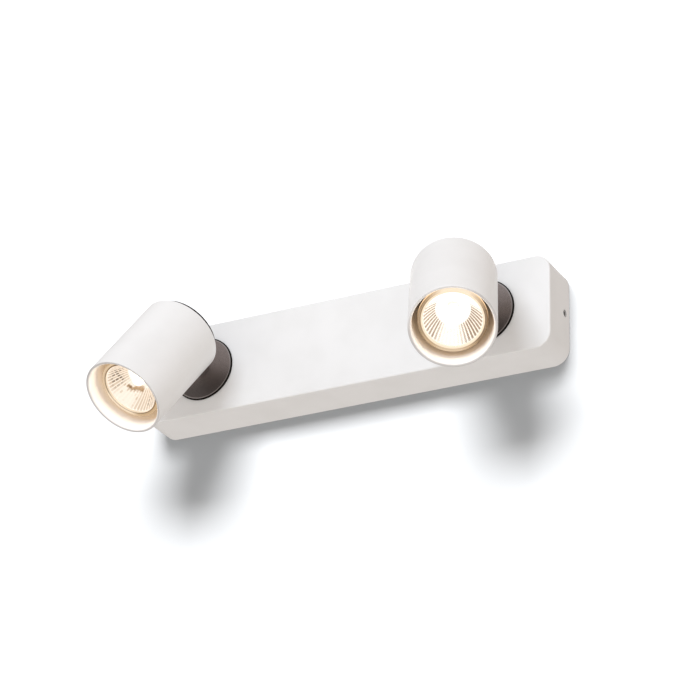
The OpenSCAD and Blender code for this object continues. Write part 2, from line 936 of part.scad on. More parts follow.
module holder_screws() {
    color("silver") for (s = SIDES)
        translate([s * holder_screw_x, 0, holder_top - holder_sunk])
        pan_screw(bridge_screw_d, holder_h - holder_sunk + bridge_t,
            holder_head);
}

// Short leads from the holder down to the hollow knuckle
module holder_leads() {
    y0 = -holder_w / 2;
    z0 = holder_z + holder_lead_z;
    for (s = SIDES)
        color(s < 0 ? "saddlebrown" : "royalblue")
        lead([[s * holder_lead_x, y0, z0],
            [s * holder_lead_x, y0 - holder_lead_out, z0],
            [s * lead_step / 2, -pivot_off + 1,
                pivot_in + knuckle_r + holder_lead_low]],
            holder_lead_bend);
}

module lamp_base() {
    r = throat_r + base_step;
    color("ivory") rotate_extrude() polygon([
        [0, base_low], [r - base_step, base_low],
        [r, base_low + base_step], [r, throat_z - shoulder_l],
        [throat_r, throat_z - face_gap], [0, throat_z - face_gap]]);
}

module lamp_pins() {
    color("silver") for (s = SIDES) translate([s * pin_pitch / 2, 0, 0]) {
        translate([0, 0, base_low - pin_neck_l])
            cylinder(r = pin_neck_r, h = pin_neck_l);
        translate([0, 0, base_low - pin_neck_l - pin_head_l + face_gap])
            cylinder(r = pin_head_d / 2, h = pin_head_l);
    }
}

// Profile of the reflector from the throat up inside, over the lip and
// down outside. The third number is the share of the rib's full height.
function bowl_inner(i) = let (
    t = i / bowl_rings, r = throat_r + t * (bowl_r - throat_r))
    [r, throat_z + (r * r - throat_r * throat_r) / (4 * focal),
        min(1, 2 * t)];

function bowl_profile() = concat(
    [for (i = [0:bowl_rings]) bowl_inner(i)],
    [[lamp_d / 2 - lip_t, lens_z, 0],
     [lamp_d / 2 - lip_t, lens_z + lens_t - lip_step, 0],
     [lamp_d / 2, lens_z + lens_t - lip_step, 0],
     [lamp_d / 2, lens_z - lip_deep, 0]],
    [for (i = [bowl_rings - 1:-1:0]) let (p = bowl_inner(i))
        [p[0] + glass_t, p[1] - glass_t / 2, 0]]);

// Pressed glass reflector: every second column stands in as a rib
module reflector() {
    p = bowl_profile();
    k = len(p);
    m = 2 * ribs;
    corners = [for (j = [0:m - 1], q = p) let (
        a = 360 * j / m, r = q[0] - (j % 2) * rib_h * q[2])
        [r * cos(a), r * sin(a), q[1]]];
    faces = [for (j = [0:m - 1], i = [0:k - 1]) let (
        a = j * k + i, b = j * k + (i + 1) % k,
        c = ((j + 1) % m) * k + i, d = ((j + 1) % m) * k + (i + 1) % k)
        each [[a, c, b], [b, c, d]]];
    color("gold") polyhedron(corners, faces);
}

module capsule() {
    color("khaki") translate([0, 0, throat_z]) {
        cylinder(r = capsule_r, h = capsule_l);
        translate([0, 0, capsule_l]) sphere(capsule_r);
    }
}

module lamp_glass() {
    color("lightyellow") translate([0, 0, lens_z + face_gap])
        cylinder(r = lens_d / 2 - fit_clear, h = lens_t - face_gap);
}

base_cover();
wall_bracket();
side_screws();
cable_grommet();
terminal_block();
terminal_sleeves();
terminal_screws();
block_screws();
earth_screw();
earth_lead();
left_leads();
right_leads();

left_swivel() joint_disc();  // left_joint_disc
left_swivel() neck();  // left_neck
left_swivel() slip_washer();  // left_slip_washer
left_swivel() stop_washer();  // left_stop_washer
left_swivel() spring_washer();  // left_spring_washer
left_swivel() neck_nut();  // left_neck_nut
left_swivel() neck_leads();  // left_neck_leads

left_head() head_tube();  // left_tube
left_head() rear_cap();  // left_rear_cap
left_head() tilt_bolt();  // left_tilt_bolt
left_head() tilt_nut();  // left_tilt_nut
left_head() friction_washers();  // left_friction_washers
left_head() holder_bridge();  // left_holder_bridge
left_head() bridge_screws();  // left_bridge_screws
left_head() lamp_holder();  // left_lamp_holder
left_head() holder_screws();  // left_holder_screws
left_head() holder_leads();  // left_holder_leads
left_head() lamp_base();  // left_lamp_base
left_head() lamp_pins();  // left_lamp_pins
left_head() reflector();  // left_reflector
left_head() capsule();  // left_capsule
left_head() lamp_glass();  // left_lamp_glass

right_swivel() joint_disc();  // right_joint_disc
right_swivel() neck();  // right_neck
right_swivel() slip_washer();  // right_slip_washer
right_swivel() stop_washer();  // right_stop_washer
right_swivel() spring_washer();  // right_spring_washer
right_swivel() neck_nut();  // right_neck_nut
right_swivel() neck_leads();  // right_neck_leads

right_head() head_tube();  // right_tube
right_head() rear_cap();  // right_rear_cap
right_head() tilt_bolt();  // right_tilt_bolt
right_head() tilt_nut();  // right_tilt_nut
right_head() friction_washers();  // right_friction_washers
right_head() holder_bridge();  // right_holder_bridge
right_head() bridge_screws();  // right_bridge_screws
right_head() lamp_holder();  // right_lamp_holder
right_head() holder_screws();  // right_holder_screws
right_head() holder_leads();  // right_holder_leads
right_head() lamp_base();  // right_lamp_base
right_head() lamp_pins();  // right_lamp_pins
right_head() reflector();  // right_reflector
right_head() capsule();  // right_capsule
right_head() lamp_glass();  // right_lamp_glass
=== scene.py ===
"""Looks of a twin spotlight: a wall light with two lamp heads on a long shallow base.

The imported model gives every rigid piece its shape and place. This script gives each one its finish,
and makes the pieces whose looks need more than the frame holds: the lamps with their ribbed
reflectors, the glowing filaments and the insulated leads. Sizes are millimetres until a mesh is
made, and metres after that.
"""

import json
import logging
import math
from dataclasses import dataclass, replace
from enum import Enum
from typing import Any, Iterable, Optional, Sequence

import bmesh
import bpy
import numpy as np
from mathutils import Matrix, Vector


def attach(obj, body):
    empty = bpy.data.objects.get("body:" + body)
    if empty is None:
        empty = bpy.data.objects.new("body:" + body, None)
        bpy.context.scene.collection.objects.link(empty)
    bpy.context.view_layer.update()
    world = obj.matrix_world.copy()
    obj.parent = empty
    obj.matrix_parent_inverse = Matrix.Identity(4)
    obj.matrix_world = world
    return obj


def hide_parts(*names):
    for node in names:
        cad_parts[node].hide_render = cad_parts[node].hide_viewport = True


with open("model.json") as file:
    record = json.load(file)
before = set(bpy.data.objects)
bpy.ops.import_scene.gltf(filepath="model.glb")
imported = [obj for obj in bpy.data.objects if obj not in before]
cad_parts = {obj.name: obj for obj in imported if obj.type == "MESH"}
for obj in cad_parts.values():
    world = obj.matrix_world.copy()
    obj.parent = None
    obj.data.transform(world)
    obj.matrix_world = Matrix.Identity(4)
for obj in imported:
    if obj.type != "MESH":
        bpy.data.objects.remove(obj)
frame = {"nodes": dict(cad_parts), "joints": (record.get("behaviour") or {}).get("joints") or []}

LOG = logging.getLogger("twin_spotlight")
# Metres in a millimetre
MM = 0.001
# Distance within which points are welded, in metres
WELD = 1e-7
# Angle between two faces from which their edge stays sharp, in degrees
CREASE = 35
# Three numbers: a colour, a place or a set of sizes
Triple = tuple[float, float, float]


class Side(Enum):
    """The two ends of the base, each with its own lamp head."""

    LEFT = "left"
    RIGHT = "right"

    @property
    def sign(self) -> int:
        """Direction of this end along x."""
        return -1 if self is Side.LEFT else 1

    def node(self, name: str) -> str:
        """Name of the frame's node called `name` at this end."""
        return f"{self.value}_{name}"


# Turning and placing


def turn_x(degrees: float) -> np.ndarray:
    """Rotation matrix about x."""
    c, s = math.cos(math.radians(degrees)), math.sin(math.radians(degrees))
    return np.array([[1, 0, 0], [0, c, -s], [0, s, c]])


def turn_y(degrees: float) -> np.ndarray:
    """Rotation matrix about y."""
    c, s = math.cos(math.radians(degrees)), math.sin(math.radians(degrees))
    return np.array([[c, 0, s], [0, 1, 0], [-s, 0, c]])


@dataclass(frozen=True)
class Placing:
    """Where a local frame stands in the part's frame, in millimetres.

    Args:
        turn: rotation matrix from the local frame to the part's frame.
        origin: the local frame's origin in the part's frame.
    """

    turn: np.ndarray
    origin: np.ndarray

    def apply(self, points: np.ndarray) -> np.ndarray:
        """Carries local points (..., 3) into the part's frame."""
        return points @ self.turn.T + self.origin


@dataclass(frozen=True)
class Joints:
    """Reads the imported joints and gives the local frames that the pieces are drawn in.

    Args:
        pivot_off: distance of the tilt axis from the head's own axis.
        pivot_in: distance of the tilt axis in front of the tube's rear edge.
    """

    pivot_off: float = 15.7
    pivot_in: float = 2.7

    @staticmethod
    def _row(name: str) -> dict[str, Any]:
        """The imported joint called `name`."""
        return next(row for row in frame["joints"] if row["name"] == name)

    def pan(self, side: Side) -> float:
        """Resting turn of a head about the disc's axis, in degrees, from the tilt axis's direction."""
        axis = self._row(f"{side.value}_tilt")["axis"]
        return math.degrees(math.atan2(axis[2], axis[0]))

    def tilt(self, side: Side) -> float:
        """Resting tilt of a head in degrees: the joint's low limit is the head straight out."""
        return -self._row(f"{side.value}_tilt")["range_deg"][0]

    @staticmethod
    def wall() -> Placing:
        """Frame whose z runs off the wall from the base's back."""
        return Placing(turn_x(90), np.zeros(3))

    def swivel(self, side: Side) -> Placing:
        """Frame on the base's front face, z off the wall, turned with the joint."""
        origin = np.array(self._row(f"{side.value}_pan")["pos_m"]) / MM
        return Placing(turn_y(-self.pan(side)) @ turn_x(90), origin)

    def head(self, side: Side) -> Placing:
        """Frame whose z is the lamp head's axis, zero at the tube's rear edge.

        Args:
            side: the head's side.

        Returns:
            The frame.
        """
        turn = turn_y(-self.pan(side)) @ turn_x(self.tilt(side)) @ turn_x(90)
        pivot = np.array(self._row(f"{side.value}_tilt")["pos_m"]) / MM
        shift = turn @ np.array([0.0, self.pivot_off, -self.pivot_in])
        return Placing(turn, pivot + shift)


# Surfaces worked out as whole arrays


def revolve(profile: np.ndarray, columns: int) -> np.ndarray:
    """Turns a profile round z.

    The point at row i and angle a is (r_i cos a, r_i sin a, z_i).

    Args:
        profile: rows of (radius, height).
        columns: number of steps round the axis.

    Returns:
        Grid of points (rows, columns, 3).
    """
    angle = np.linspace(0.0, 2 * math.pi, columns, endpoint=False)
    r, z = profile[:, :1], profile[:, 1:2]
    return np.stack([r * np.cos(angle), r * np.sin(angle), z + 0 * angle], axis=-1)


def arc(centre: Sequence[float], radius: float, start: float, end: float, steps: int) -> np.ndarray:
    """Points of a circular arc in a profile, from angle `start` to `end` in degrees."""
    a = np.radians(np.linspace(start, end, steps))
    return np.stack([centre[0] + radius * np.cos(a), centre[1] + radius * np.sin(a)], axis=-1)


def smooth(values: Any, start: Any, end: Any) -> np.ndarray:
    """Smooth step u^2 (3 - 2u), where u runs from 0 at `start` to 1 at `end`.

    Args:
        values: the numbers to step.
        start: where the step begins.
        end: where it ends.

    Returns:
        Numbers from 0 to 1.
    """
    u = np.clip((values - start) / (end - start), 0.0, 1.0)
    return u * u * (3 - 2 * u)


def window(values: np.ndarray, low: float, high: float, edge: float) -> np.ndarray:
    """One from `low` to `high`, with a smooth step of width `edge` outside each.

    Args:
        values: the numbers to weigh.
        low: where the full part begins.
        high: where it ends.
        edge: width of the steps.

    Returns:
        Numbers from 0 to 1.
    """
    return smooth(values, low - edge, low) * (1 - smooth(values, high, high + edge))


def unit(vectors: np.ndarray) -> np.ndarray:
    """Vectors scaled to length one along the last axis."""
    return vectors / np.linalg.norm(vectors, axis=-1, keepdims=True)


def rounded_route(points: np.ndarray, bend: float, steps: int) -> np.ndarray:
    """Rounds each inner corner of a route with a quadratic curve.

    A corner p between a and b becomes (1-t)^2 p1 + 2t(1-t) p + t^2 p2, where p1 and p2 lie `bend`
    before and after p, and the corner's own steps t run from 0 to 1.

    Args:
        points: the route's corners (n, 3).
        bend: distance from the corner at which a bend starts.
        steps: points in each bend.

    Returns:
        The rounded route (m, 3).
    """
    p = points[1:-1, None, :]
    before = p + bend * unit(points[:-2, None, :] - p)
    after = p + bend * unit(points[2:, None, :] - p)
    t = np.linspace(0.0, 1.0, steps)[None, :, None]
    bends = (1 - t) ** 2 * before + 2 * t * (1 - t) * p + t**2 * after
    return np.concatenate([points[:1], bends.reshape(-1, 3), points[-1:]])


def sweep(route: np.ndarray, radius: np.ndarray, sides: int) -> np.ndarray:
    """Carries a circle along a route.

    Each ring lies square to the route's direction d, in the plane of u = d x k and v = d x u, where k
    is a fixed slanting direction that no route here follows, so the rings don't twist.

    Args:
        route: centre line (n, 3).
        radius: the circle's radius at each point (n,).
        sides: points in each ring.

    Returns:
        Grid of points (n, sides, 3).
    """
    ahead = np.concatenate([route[1:], route[-1:]])
    behind = np.concatenate([route[:1], route[:-1]])
    d = unit(ahead - behind)
    u = unit(np.cross(d, unit(np.array([0.6, -0.37, 0.71]))))
    v = np.cross(d, u)
    a = np.linspace(0.0, 2 * math.pi, sides, endpoint=False)[None, :, None]
    ring = np.cos(a) * u[:, None, :] + np.sin(a) * v[:, None, :]
    return route[:, None, :] + radius[:, None, None] * ring


@dataclass(frozen=True)
class Skin:
    """How a grid of points closes into a mesh.

    Args:
        loop: whether the last row joins the first, as on a ring.
        caps: whether the first and last rows are filled with a flat face.
    """

    loop: bool = False
    caps: bool = False


def grid_faces(rows: int, columns: int, loop: bool) -> np.ndarray:
    """Quads of a grid whose columns close round: corners (i, j), (i, j+1), (i+1, j+1), (i+1, j).

    Args:
        rows: number of rows.
        columns: points in each row.
        loop: whether the last row joins the first.

    Returns:
        Numbers of the corners (quads, 4).
    """
    i = np.arange(rows if loop else rows - 1)[:, None]
    j = np.arange(columns)[None, :]
    below, beside = (i + 1) % rows, (j + 1) % columns
    corners = [i * columns + j, i * columns + beside, below * columns + beside, below * columns + j]
    return np.stack(np.broadcast_arrays(*corners), axis=-1).reshape(-1, 4)


def grid_piece(name: str, grid: np.ndarray, placing: Placing, skin: Skin,
               values: Optional[dict[str, np.ndarray]] = None) -> bpy.types.Object:
    """Makes a mesh object from a grid of points, with its place in its mesh.

    Args:
        name: the piece's name.
        grid: points (rows, columns, 3) in millimetres in the placing's frame.
        placing: the frame that the points are given in.
        skin: how the grid closes.
        values: numbers per point (rows, columns), kept as attributes for the material.

    Returns:
        The new object, welded, smooth and with its normals outwards.
    """
    rows, columns, _ = grid.shape
    points = placing.apply(grid).reshape(-1, 3) * MM
    faces = grid_faces(rows, columns, skin.loop)
    mesh = bpy.data.meshes.new(name)
    mesh.from_pydata(points.tolist(), [], faces.tolist())
    for label, numbers in (values or {}).items():
        layer = mesh.attributes.new(label, "FLOAT", "POINT")
        layer.data.foreach_set("value", numbers.astype(np.float32).ravel())
    close_up(mesh, skin, columns)
    piece = bpy.data.objects.new(name, mesh)
    bpy.context.scene.collection.objects.link(piece)
    return piece


def close_up(mesh: bpy.types.Mesh, skin: Skin, columns: int) -> None:
    """Caps a grid's ends, welds its poles and seams and turns its faces outwards.

    Args:
        mesh: the mesh to finish in place.
        skin: how the grid closes.
        columns: points in each row.
    """
    work = bmesh.new()
    work.from_mesh(mesh)
    work.verts.ensure_lookup_table()
    if skin.caps:
        work.faces.new(work.verts[:columns])
        work.faces.new(work.verts[-columns:])
    bmesh.ops.remove_doubles(work, verts=work.verts, dist=WELD)
    bmesh.ops.recalc_face_normals(work, faces=work.faces)
    work.to_mesh(mesh)
    work.free()
    mesh.shade_smooth()
    mesh.set_sharp_from_angle(angle=math.radians(CREASE))


# Materials


class Graph:
    """The node graph of one material."""

    def __init__(self, name: str) -> None:
        """Starts a material with one principled shader on its output.

        Args:
            name: the material's name.
        """
        self.material = bpy.data.materials.new(name)
        self.material.use_nodes = True
        self.tree = self.material.node_tree
        self.tree.nodes.clear()
        self.output = self.tree.nodes.new("ShaderNodeOutputMaterial")
        self.shader = self.node("ShaderNodeBsdfPrincipled")
        self.link(self.shader, "BSDF", self.output, "Surface")

    def node(self, kind: str, values: Optional[dict[Any, Any]] = None, **settings: Any) -> bpy.types.Node:
        """Adds a node.

        Args:
            kind: Blender's name for the kind of node.
            values: input socket, by name or number, to its value.
            **settings: the node's own settings.

        Returns:
            The new node.
        """
        made = self.tree.nodes.new(kind)
        for key, value in settings.items():
            setattr(made, key, value)
        for socket, value in (values or {}).items():
            made.inputs[socket].default_value = value
        return made

    def link(self, source: bpy.types.Node, out: Any, target: bpy.types.Node, into: Any) -> None:
        """Joins an output to an input."""
        self.tree.links.new(source.outputs[out], target.inputs[into])

    def surface(self, **values: Any) -> None:
        """Sets the principled shader's even values, with underscores for the spaces in their names."""
        for key, value in values.items():
            self.shader.inputs[key.replace("_", " ")].default_value = value

    def place(self) -> bpy.types.Node:
        """Coordinates of the object itself, in metres."""
        return self.node("ShaderNodeTexCoord")

    def local(self, placing: Placing) -> bpy.types.Node:
        """Coordinates in a local frame of the part, in metres.

        Args:
            placing: where the frame stands.

        Returns:
            A node with the outputs X, Y and Z.
        """
        back = Matrix(placing.turn.T.tolist())
        mapping = self.node("ShaderNodeMapping", {"Location": back @ Vector(-placing.origin * MM),
                                                  "Rotation": back.to_euler()})
        self.link(self.place(), "Object", mapping, "Vector")
        split = self.node("ShaderNodeSeparateXYZ")
        self.link(mapping, "Vector", split, 0)
        return split

    def noise(self, size: float, detail: float = 3.0, seed: float = 0.0,
              stretch: Sequence[float] = (1, 1, 1)) -> bpy.types.Node:
        """A noise pattern in the object's own coordinates.

        Args:
            size: width of the pattern's features, in millimetres.
            detail: octaves of finer noise.
            seed: shifts the pattern.
            stretch: factors on the three axes, under 1 for longer features.

        Returns:
            The noise node, with its output Fac.
        """
        shift = (seed, seed * 0.7, seed * 0.3)
        mapping = self.node("ShaderNodeMapping", {"Location": shift, "Scale": stretch})
        self.link(self.place(), "Object", mapping, "Vector")
        made = self.node("ShaderNodeTexNoise",
                         {"Scale": 1 / (size * MM), "Detail": detail, "Roughness": 0.55})
        self.link(mapping, "Vector", made, "Vector")
        return made

    def remap(self, source: bpy.types.Node, out: Any, low: float, high: float,
              start: float = 0.3, end: float = 0.7) -> bpy.types.Node:
        """Stretches a value from [start, end] to [low, high], smoothly.

        Args:
            source: the node that gives the value.
            out: its output.
            low: the new value at `start` and below.
            high: the new value at `end` and above.
            start: lower end of the old range.
            end: upper end of the old range.

        Returns:
            The range node, with its output number 0.
        """
        made = self.node("ShaderNodeMapRange", {1: start, 2: end, 3: low, 4: high},
                         interpolation_type="SMOOTHSTEP")
        self.link(source, out, made, 0)
        return made

    def blend(self, fac: bpy.types.Node, out: Any, first: Sequence[float],
              second: Sequence[float]) -> bpy.types.Node:
        """Mixes two colours by a value.

        Args:
            fac: the node that gives the value.
            out: its output.
            first: the colour at 0.
            second: the colour at 1.

        Returns:
            The mix node, with its output number 2.
        """
        made = self.node("ShaderNodeMix", {6: (*first, 1.0), 7: (*second, 1.0)}, data_type="RGBA")
        self.link(fac, out, made, 0)
        return made

    def over(self, under: bpy.types.Node, mask: bpy.types.Node, out: Any,
             colour: Sequence[float]) -> bpy.types.Node:
        """Lays one colour over another.

        Args:
            under: the mix node that gives the colour below.
            mask: the node that says where the new colour covers it.
            out: the mask's output.
            colour: the new colour.

        Returns:
            The mix node, with its output number 2.
        """
        made = self.node("ShaderNodeMix", {7: (*colour, 1.0)}, data_type="RGBA")
        self.link(mask, out, made, 0)
        self.link(under, 2, made, 6)
        return made

    def product(self, first: bpy.types.Node, out: Any, second: bpy.types.Node,
                second_out: Any) -> bpy.types.Node:
        """Multiplies two values.

        Args:
            first: the node that gives the first value.
            out: its output.
            second: the node that gives the second value.
            second_out: its output.

        Returns:
            The node of the product, with its output number 0.
        """
        made = self.node("ShaderNodeMath", operation="MULTIPLY")
        self.link(first, out, made, 0)
        self.link(second, second_out, made, 1)
        return made

    def mark(self, label: str) -> bpy.types.Node:
        """The numbers that a mesh keeps under a name, on the output Fac."""
        return self.node("ShaderNodeAttribute", attribute_name=label)

    def colour(self, source: bpy.types.Node, out: Any = 2, into: str = "Base Color") -> None:
        """Drives one of the shader's colours."""
        self.link(source, out, self.shader, into)

    def rough(self, source: bpy.types.Node, out: Any, low: float, high: float,
              start: float = 0.3, end: float = 0.7) -> None:
        """Drives the shader's roughness by a value, stretched as `remap` does."""
        self.link(self.remap(source, out, low, high, start, end), 0, self.shader, "Roughness")

    def bump(self, source: bpy.types.Node, out: Any, height: float, strength: float = 1.0,
             under: Optional[bpy.types.Node] = None) -> bpy.types.Node:
        """Raises the surface by a pattern.

        Args:
            source: the node that gives the pattern.
            out: its output.
            height: the pattern's height in millimetres.
            strength: share of the full effect.
            under: a bump that this one lies on.

        Returns:
            The bump node, joined to the shader.
        """
        made = self.node("ShaderNodeBump", {"Strength": strength, "Distance": height * MM})
        self.link(source, out, made, "Height")
        if under is not None:
            self.link(under, "Normal", made, "Normal")
        self.link(made, "Normal", self.shader, "Normal")
        return made


@dataclass(frozen=True)
class PowderCoat:
    """Baked powder paint: a faint orange peel, fine grain and barely uneven tone, with painted shade on a
    tube's mouth crest.

    Args:
        name: the material's name.
        light: colour of most of the coat.
        shade: colour of its thinner patches.
        roughness: middle roughness.
        peel: width of the orange peel's waves in millimetres.
        mouth: a tube's own frame, or None for a piece without a mouth.
        lip: colour of the painted shade on the mouth's crest.
        lip_z: height in that frame where the crest begins, in millimetres.
        lip_w: height over which the colour changes.
        lit_y: stretch along y in that frame over which that painted shade fades out where the lamp lights
            the crest.
    """

    name: str
    light: Triple
    shade: Triple
    roughness: float = 0.42
    peel: float = 1.3
    mouth: Optional[Placing] = None
    lip: Triple = (0.62, 0.605, 0.59)
    lip_z: float = 82.45
    lip_w: float = 0.5
    lit_y: Optional[tuple[float, float]] = None

    def build(self) -> bpy.types.Material:
        """Makes the material.

        Returns:
            The material.
        """
        g = Graph(self.name)
        g.surface(IOR=1.5, Specular_IOR_Level=0.42)
        patches = g.remap(g.noise(size=34, detail=2.0), "Fac", 0.0, 1.0, 0.35, 0.7)
        tone = g.blend(patches, 0, self.light, self.shade)
        # Painted shade: a tube's lip crest is darkened, and the darkening fades out where the lamp lights
        # the crest.
        if self.mouth is not None:
            height = g.local(self.mouth)
            crest = g.remap(height, "Z", 0.0, 1.0, self.lip_z * MM, (self.lip_z + self.lip_w) * MM)
            if self.lit_y is not None:
                unlit = g.remap(height, "Y", 1.0, 0.0, *(y * MM for y in self.lit_y))
                crest = g.product(unlit, 0, crest, 0)
            tone = g.over(tone, crest, 0, self.lip)
        g.colour(tone)
        g.rough(g.noise(size=5, detail=3.0, seed=2.0), "Fac", self.roughness - 0.04, self.roughness + 0.05)
        peel = g.bump(g.noise(size=self.peel, detail=1.0, seed=4.0), "Fac", height=0.012, strength=0.8)
        g.bump(g.noise(size=0.22, detail=2.0, seed=7.0), "Fac", height=0.004, strength=0.6, under=peel)
        return g.material


@dataclass(frozen=True)
class BronzeCoat:
    """Satin dark bronze coat with fine pearl flakes.

    On a joint disc a painted highlight rings the face where it meets the edge, the edge itself is painted
    dark as shade, and painted light darkens the disc towards its lower end and lightens its upper half.

    Args:
        name: the material's name.
        dark: colour between the flakes.
        pearl: colour of the flakes.
        highlight_ring: colour of the painted highlight ring.
        edge: colour of the painted shade on the edge.
        gloss: specular level.
        metal: metallic share.
        smoothness: middle roughness.
        painted_light: factors of painted light on the colour: shade at the lower end of a disc, light over
            its upper half.
        centre: x of a disc's axis in millimetres, or None for a piece that isn't a disc.
        edge_r: radius at which the disc's edge starts, in millimetres.
        highlight_ring_w: width of the painted highlight ring inside the edge, in millimetres.
        flake: width of a flake in millimetres.
        painted_light_z: heights between which the painted light on a disc changes, in millimetres.
    """

    name: str = "dark_bronze_coat"
    dark: Triple = (0.090, 0.072, 0.067)
    pearl: Triple = (0.165, 0.138, 0.128)
    highlight_ring: Triple = (0.30, 0.27, 0.26)
    edge: Triple = (0.012, 0.010, 0.009)
    gloss: float = 0.5
    metal: float = 0.2
    smoothness: float = 0.43
    painted_light: tuple[float, float] = (0.62, 1.6)
    centre: Optional[float] = None
    edge_r: float = 24.7
    highlight_ring_w: float = 0.9
    flake: float = 0.16
    painted_light_z: tuple[float, float] = (-19.0, 1.0)

    def build(self) -> bpy.types.Material:
        """Makes the material.

        Returns:
            The material.
        """
        g = Graph(self.name)
        g.surface(Metallic=self.metal, Specular_IOR_Level=self.gloss)
        flakes = g.node("ShaderNodeTexVoronoi", {"Scale": 1 / (self.flake * MM)})
        g.link(g.place(), "Object", flakes, "Vector")
        split = g.node("ShaderNodeSeparateColor")
        g.link(flakes, "Color", split, 0)
        tone = g.blend(g.remap(split, 0, 0.0, 1.0, 0.1, 0.95), 0, self.dark, self.pearl)
        g.colour(tone if self.centre is None else self.ringed(g, tone))
        g.rough(g.noise(size=3, detail=3.0), "Fac", self.smoothness - 0.04, self.smoothness + 0.04)
        peel = g.bump(g.noise(size=0.9, detail=1.0, seed=3.0), "Fac", height=0.008, strength=0.8)
        g.bump(flakes, "Distance", height=0.004, strength=0.5, under=peel)
        return g.material

    def ringed(self, g: Graph, tone: bpy.types.Node) -> bpy.types.Node:
        """Adds painted light round the disc's axis: a highlight ring, painted shade on the edge, and shade
        towards the lower end.

        Args:
            g: the graph being built.
            tone: the plain coat's colour, on output 2.

        Returns:
            The mix node, with its output number 2.
        """
        flat = g.node("ShaderNodeMapping",
                      {"Location": (-self.centre * MM, 0.0, 0.0), "Scale": (1.0, 0.0, 1.0)})
        g.link(g.place(), "Object", flat, "Vector")
        radius = g.node("ShaderNodeVectorMath", operation="LENGTH")
        g.link(flat, "Vector", radius, 0)
        # Painted light: the colour is darkened towards the disc's lower end and lightened over its upper
        # half.
        height = g.node("ShaderNodeSeparateXYZ")
        g.link(g.place(), "Object", height, 0)
        painted_light = g.remap(height, "Z", *self.painted_light, *(z * MM for z in self.painted_light_z))
        shaded = g.node("ShaderNodeMix", {0: 1.0}, data_type="RGBA", blend_type="MULTIPLY")
        g.link(tone, 2, shaded, 6)
        g.link(painted_light, 0, shaded, 7)
        # Painted highlight in a ring inside the edge, and painted shade on the edge itself, where the gloss
        # is turned off too.
        start = self.edge_r - self.highlight_ring_w
        ring = g.remap(radius, "Value", 0.0, 1.0, start * MM, (start + 0.3) * MM)
        rim = g.remap(radius, "Value", 0.0, 1.0, (self.edge_r - 0.1) * MM, (self.edge_r + 0.1) * MM)
        dark = g.over(g.over(shaded, ring, 0, self.highlight_ring), rim, 0, self.edge)
        g.link(g.remap(rim, 0, self.gloss, 0.0, 0.0, 1.0), 0, g.shader, "Specular IOR Level")
        return dark


@dataclass(frozen=True)
class ZincPlate:
    """Bright zinc on steel: soft crystal patches and faint rolling lines.

    Args:
        name: the material's name.
        light: colour of the bright patches.
        dull: colour of the dull patches.
        crystal: width of a patch in millimetres.
        rolled: factors on the axes for the rolling lines, small along them.
    """

    name: str
    light: Triple = (0.70, 0.70, 0.69)
    dull: Triple = (0.47, 0.48, 0.49)
    crystal: float = 2.6
    rolled: Triple = (0.04, 1.0, 1.0)

    def build(self) -> bpy.types.Material:
        """Makes the material.

        Returns:
            The material.
        """
        g = Graph(self.name)
        g.surface(Metallic=0.95)
        cells = g.node("ShaderNodeTexVoronoi", {"Scale": 1 / (self.crystal * MM), "Randomness": 1.0})
        g.link(g.place(), "Object", cells, "Vector")
        split = g.node("ShaderNodeSeparateColor")
        g.link(cells, "Color", split, 0)
        g.colour(g.blend(g.remap(split, 0, 0.0, 1.0, 0.0, 1.0), 0, self.light, self.dull))
        g.rough(split, 1, 0.26, 0.46, 0.0, 1.0)
        lines = g.noise(size=0.35, detail=2.0, seed=5.0, stretch=self.rolled)
        g.bump(lines, "Fac", height=0.006, strength=0.7)
        return g.material


@dataclass(frozen=True)
class Moulded:
    """Moulded or fired stuff with a fine grain: plastic, rubber, ceramic, nylon.

    Args:
        name: the material's name.
        light: main colour.
        shade: colour of its specks and clouds.
        roughness: middle roughness.
        grain: width of the surface grain in millimetres.
        height: height of the grain in millimetres.
        gloss: specular level.
        glaze: weight of a clear coat.
    """

    name: str
    light: Triple
    shade: Triple
    roughness: float
    grain: float = 0.3
    height: float = 0.01
    gloss: float = 0.5
    glaze: float = 0.0

    def build(self) -> bpy.types.Material:
        """Makes the material.

        Returns:
            The material.
        """
        g = Graph(self.name)
        g.surface(Specular_IOR_Level=self.gloss, Coat_Weight=self.glaze, Coat_Roughness=0.15)
        clouds = g.remap(g.noise(size=6, detail=5.0, seed=1.0), "Fac", 0.0, 1.0, 0.35, 0.72)
        g.colour(g.blend(clouds, 0, self.light, self.shade))
        g.rough(g.noise(size=1.5, detail=3.0, seed=2.0), "Fac", self.roughness - 0.05, self.roughness + 0.06)
        g.bump(g.noise(size=self.grain, detail=3.0, seed=6.0), "Fac", height=self.height, strength=0.8)
        return g.material


@dataclass(frozen=True)
class DrawnMetal:
    """Drawn or turned metal: brass sleeves, the copper lug, black steel.

    Args:
        name: the material's name.
        light: colour of the clean metal.
        tarnish: colour of its tarnish.
        roughness: middle roughness.
        drawn: factors on the axes for the drawing lines, small along them.
    """

    name: str
    light: Triple
    tarnish: Triple
    roughness: float = 0.3
    drawn: Triple = (1.0, 0.05, 1.0)

    def build(self) -> bpy.types.Material:
        """Makes the material.

        Returns:
            The material.
        """
        g = Graph(self.name)
        g.surface(Metallic=1.0)
        stain = g.remap(g.noise(size=2.2, detail=5.0), "Fac", 0.0, 1.0, 0.4, 0.75)
        g.colour(g.blend(stain, 0, self.light, self.tarnish))
        g.rough(stain, 0, self.roughness, self.roughness + 0.2, 0.0, 1.0)
        lines = g.noise(size=0.2, detail=2.0, seed=3.0, stretch=self.drawn)
        g.bump(lines, "Fac", height=0.005, strength=0.6)
        return g.material


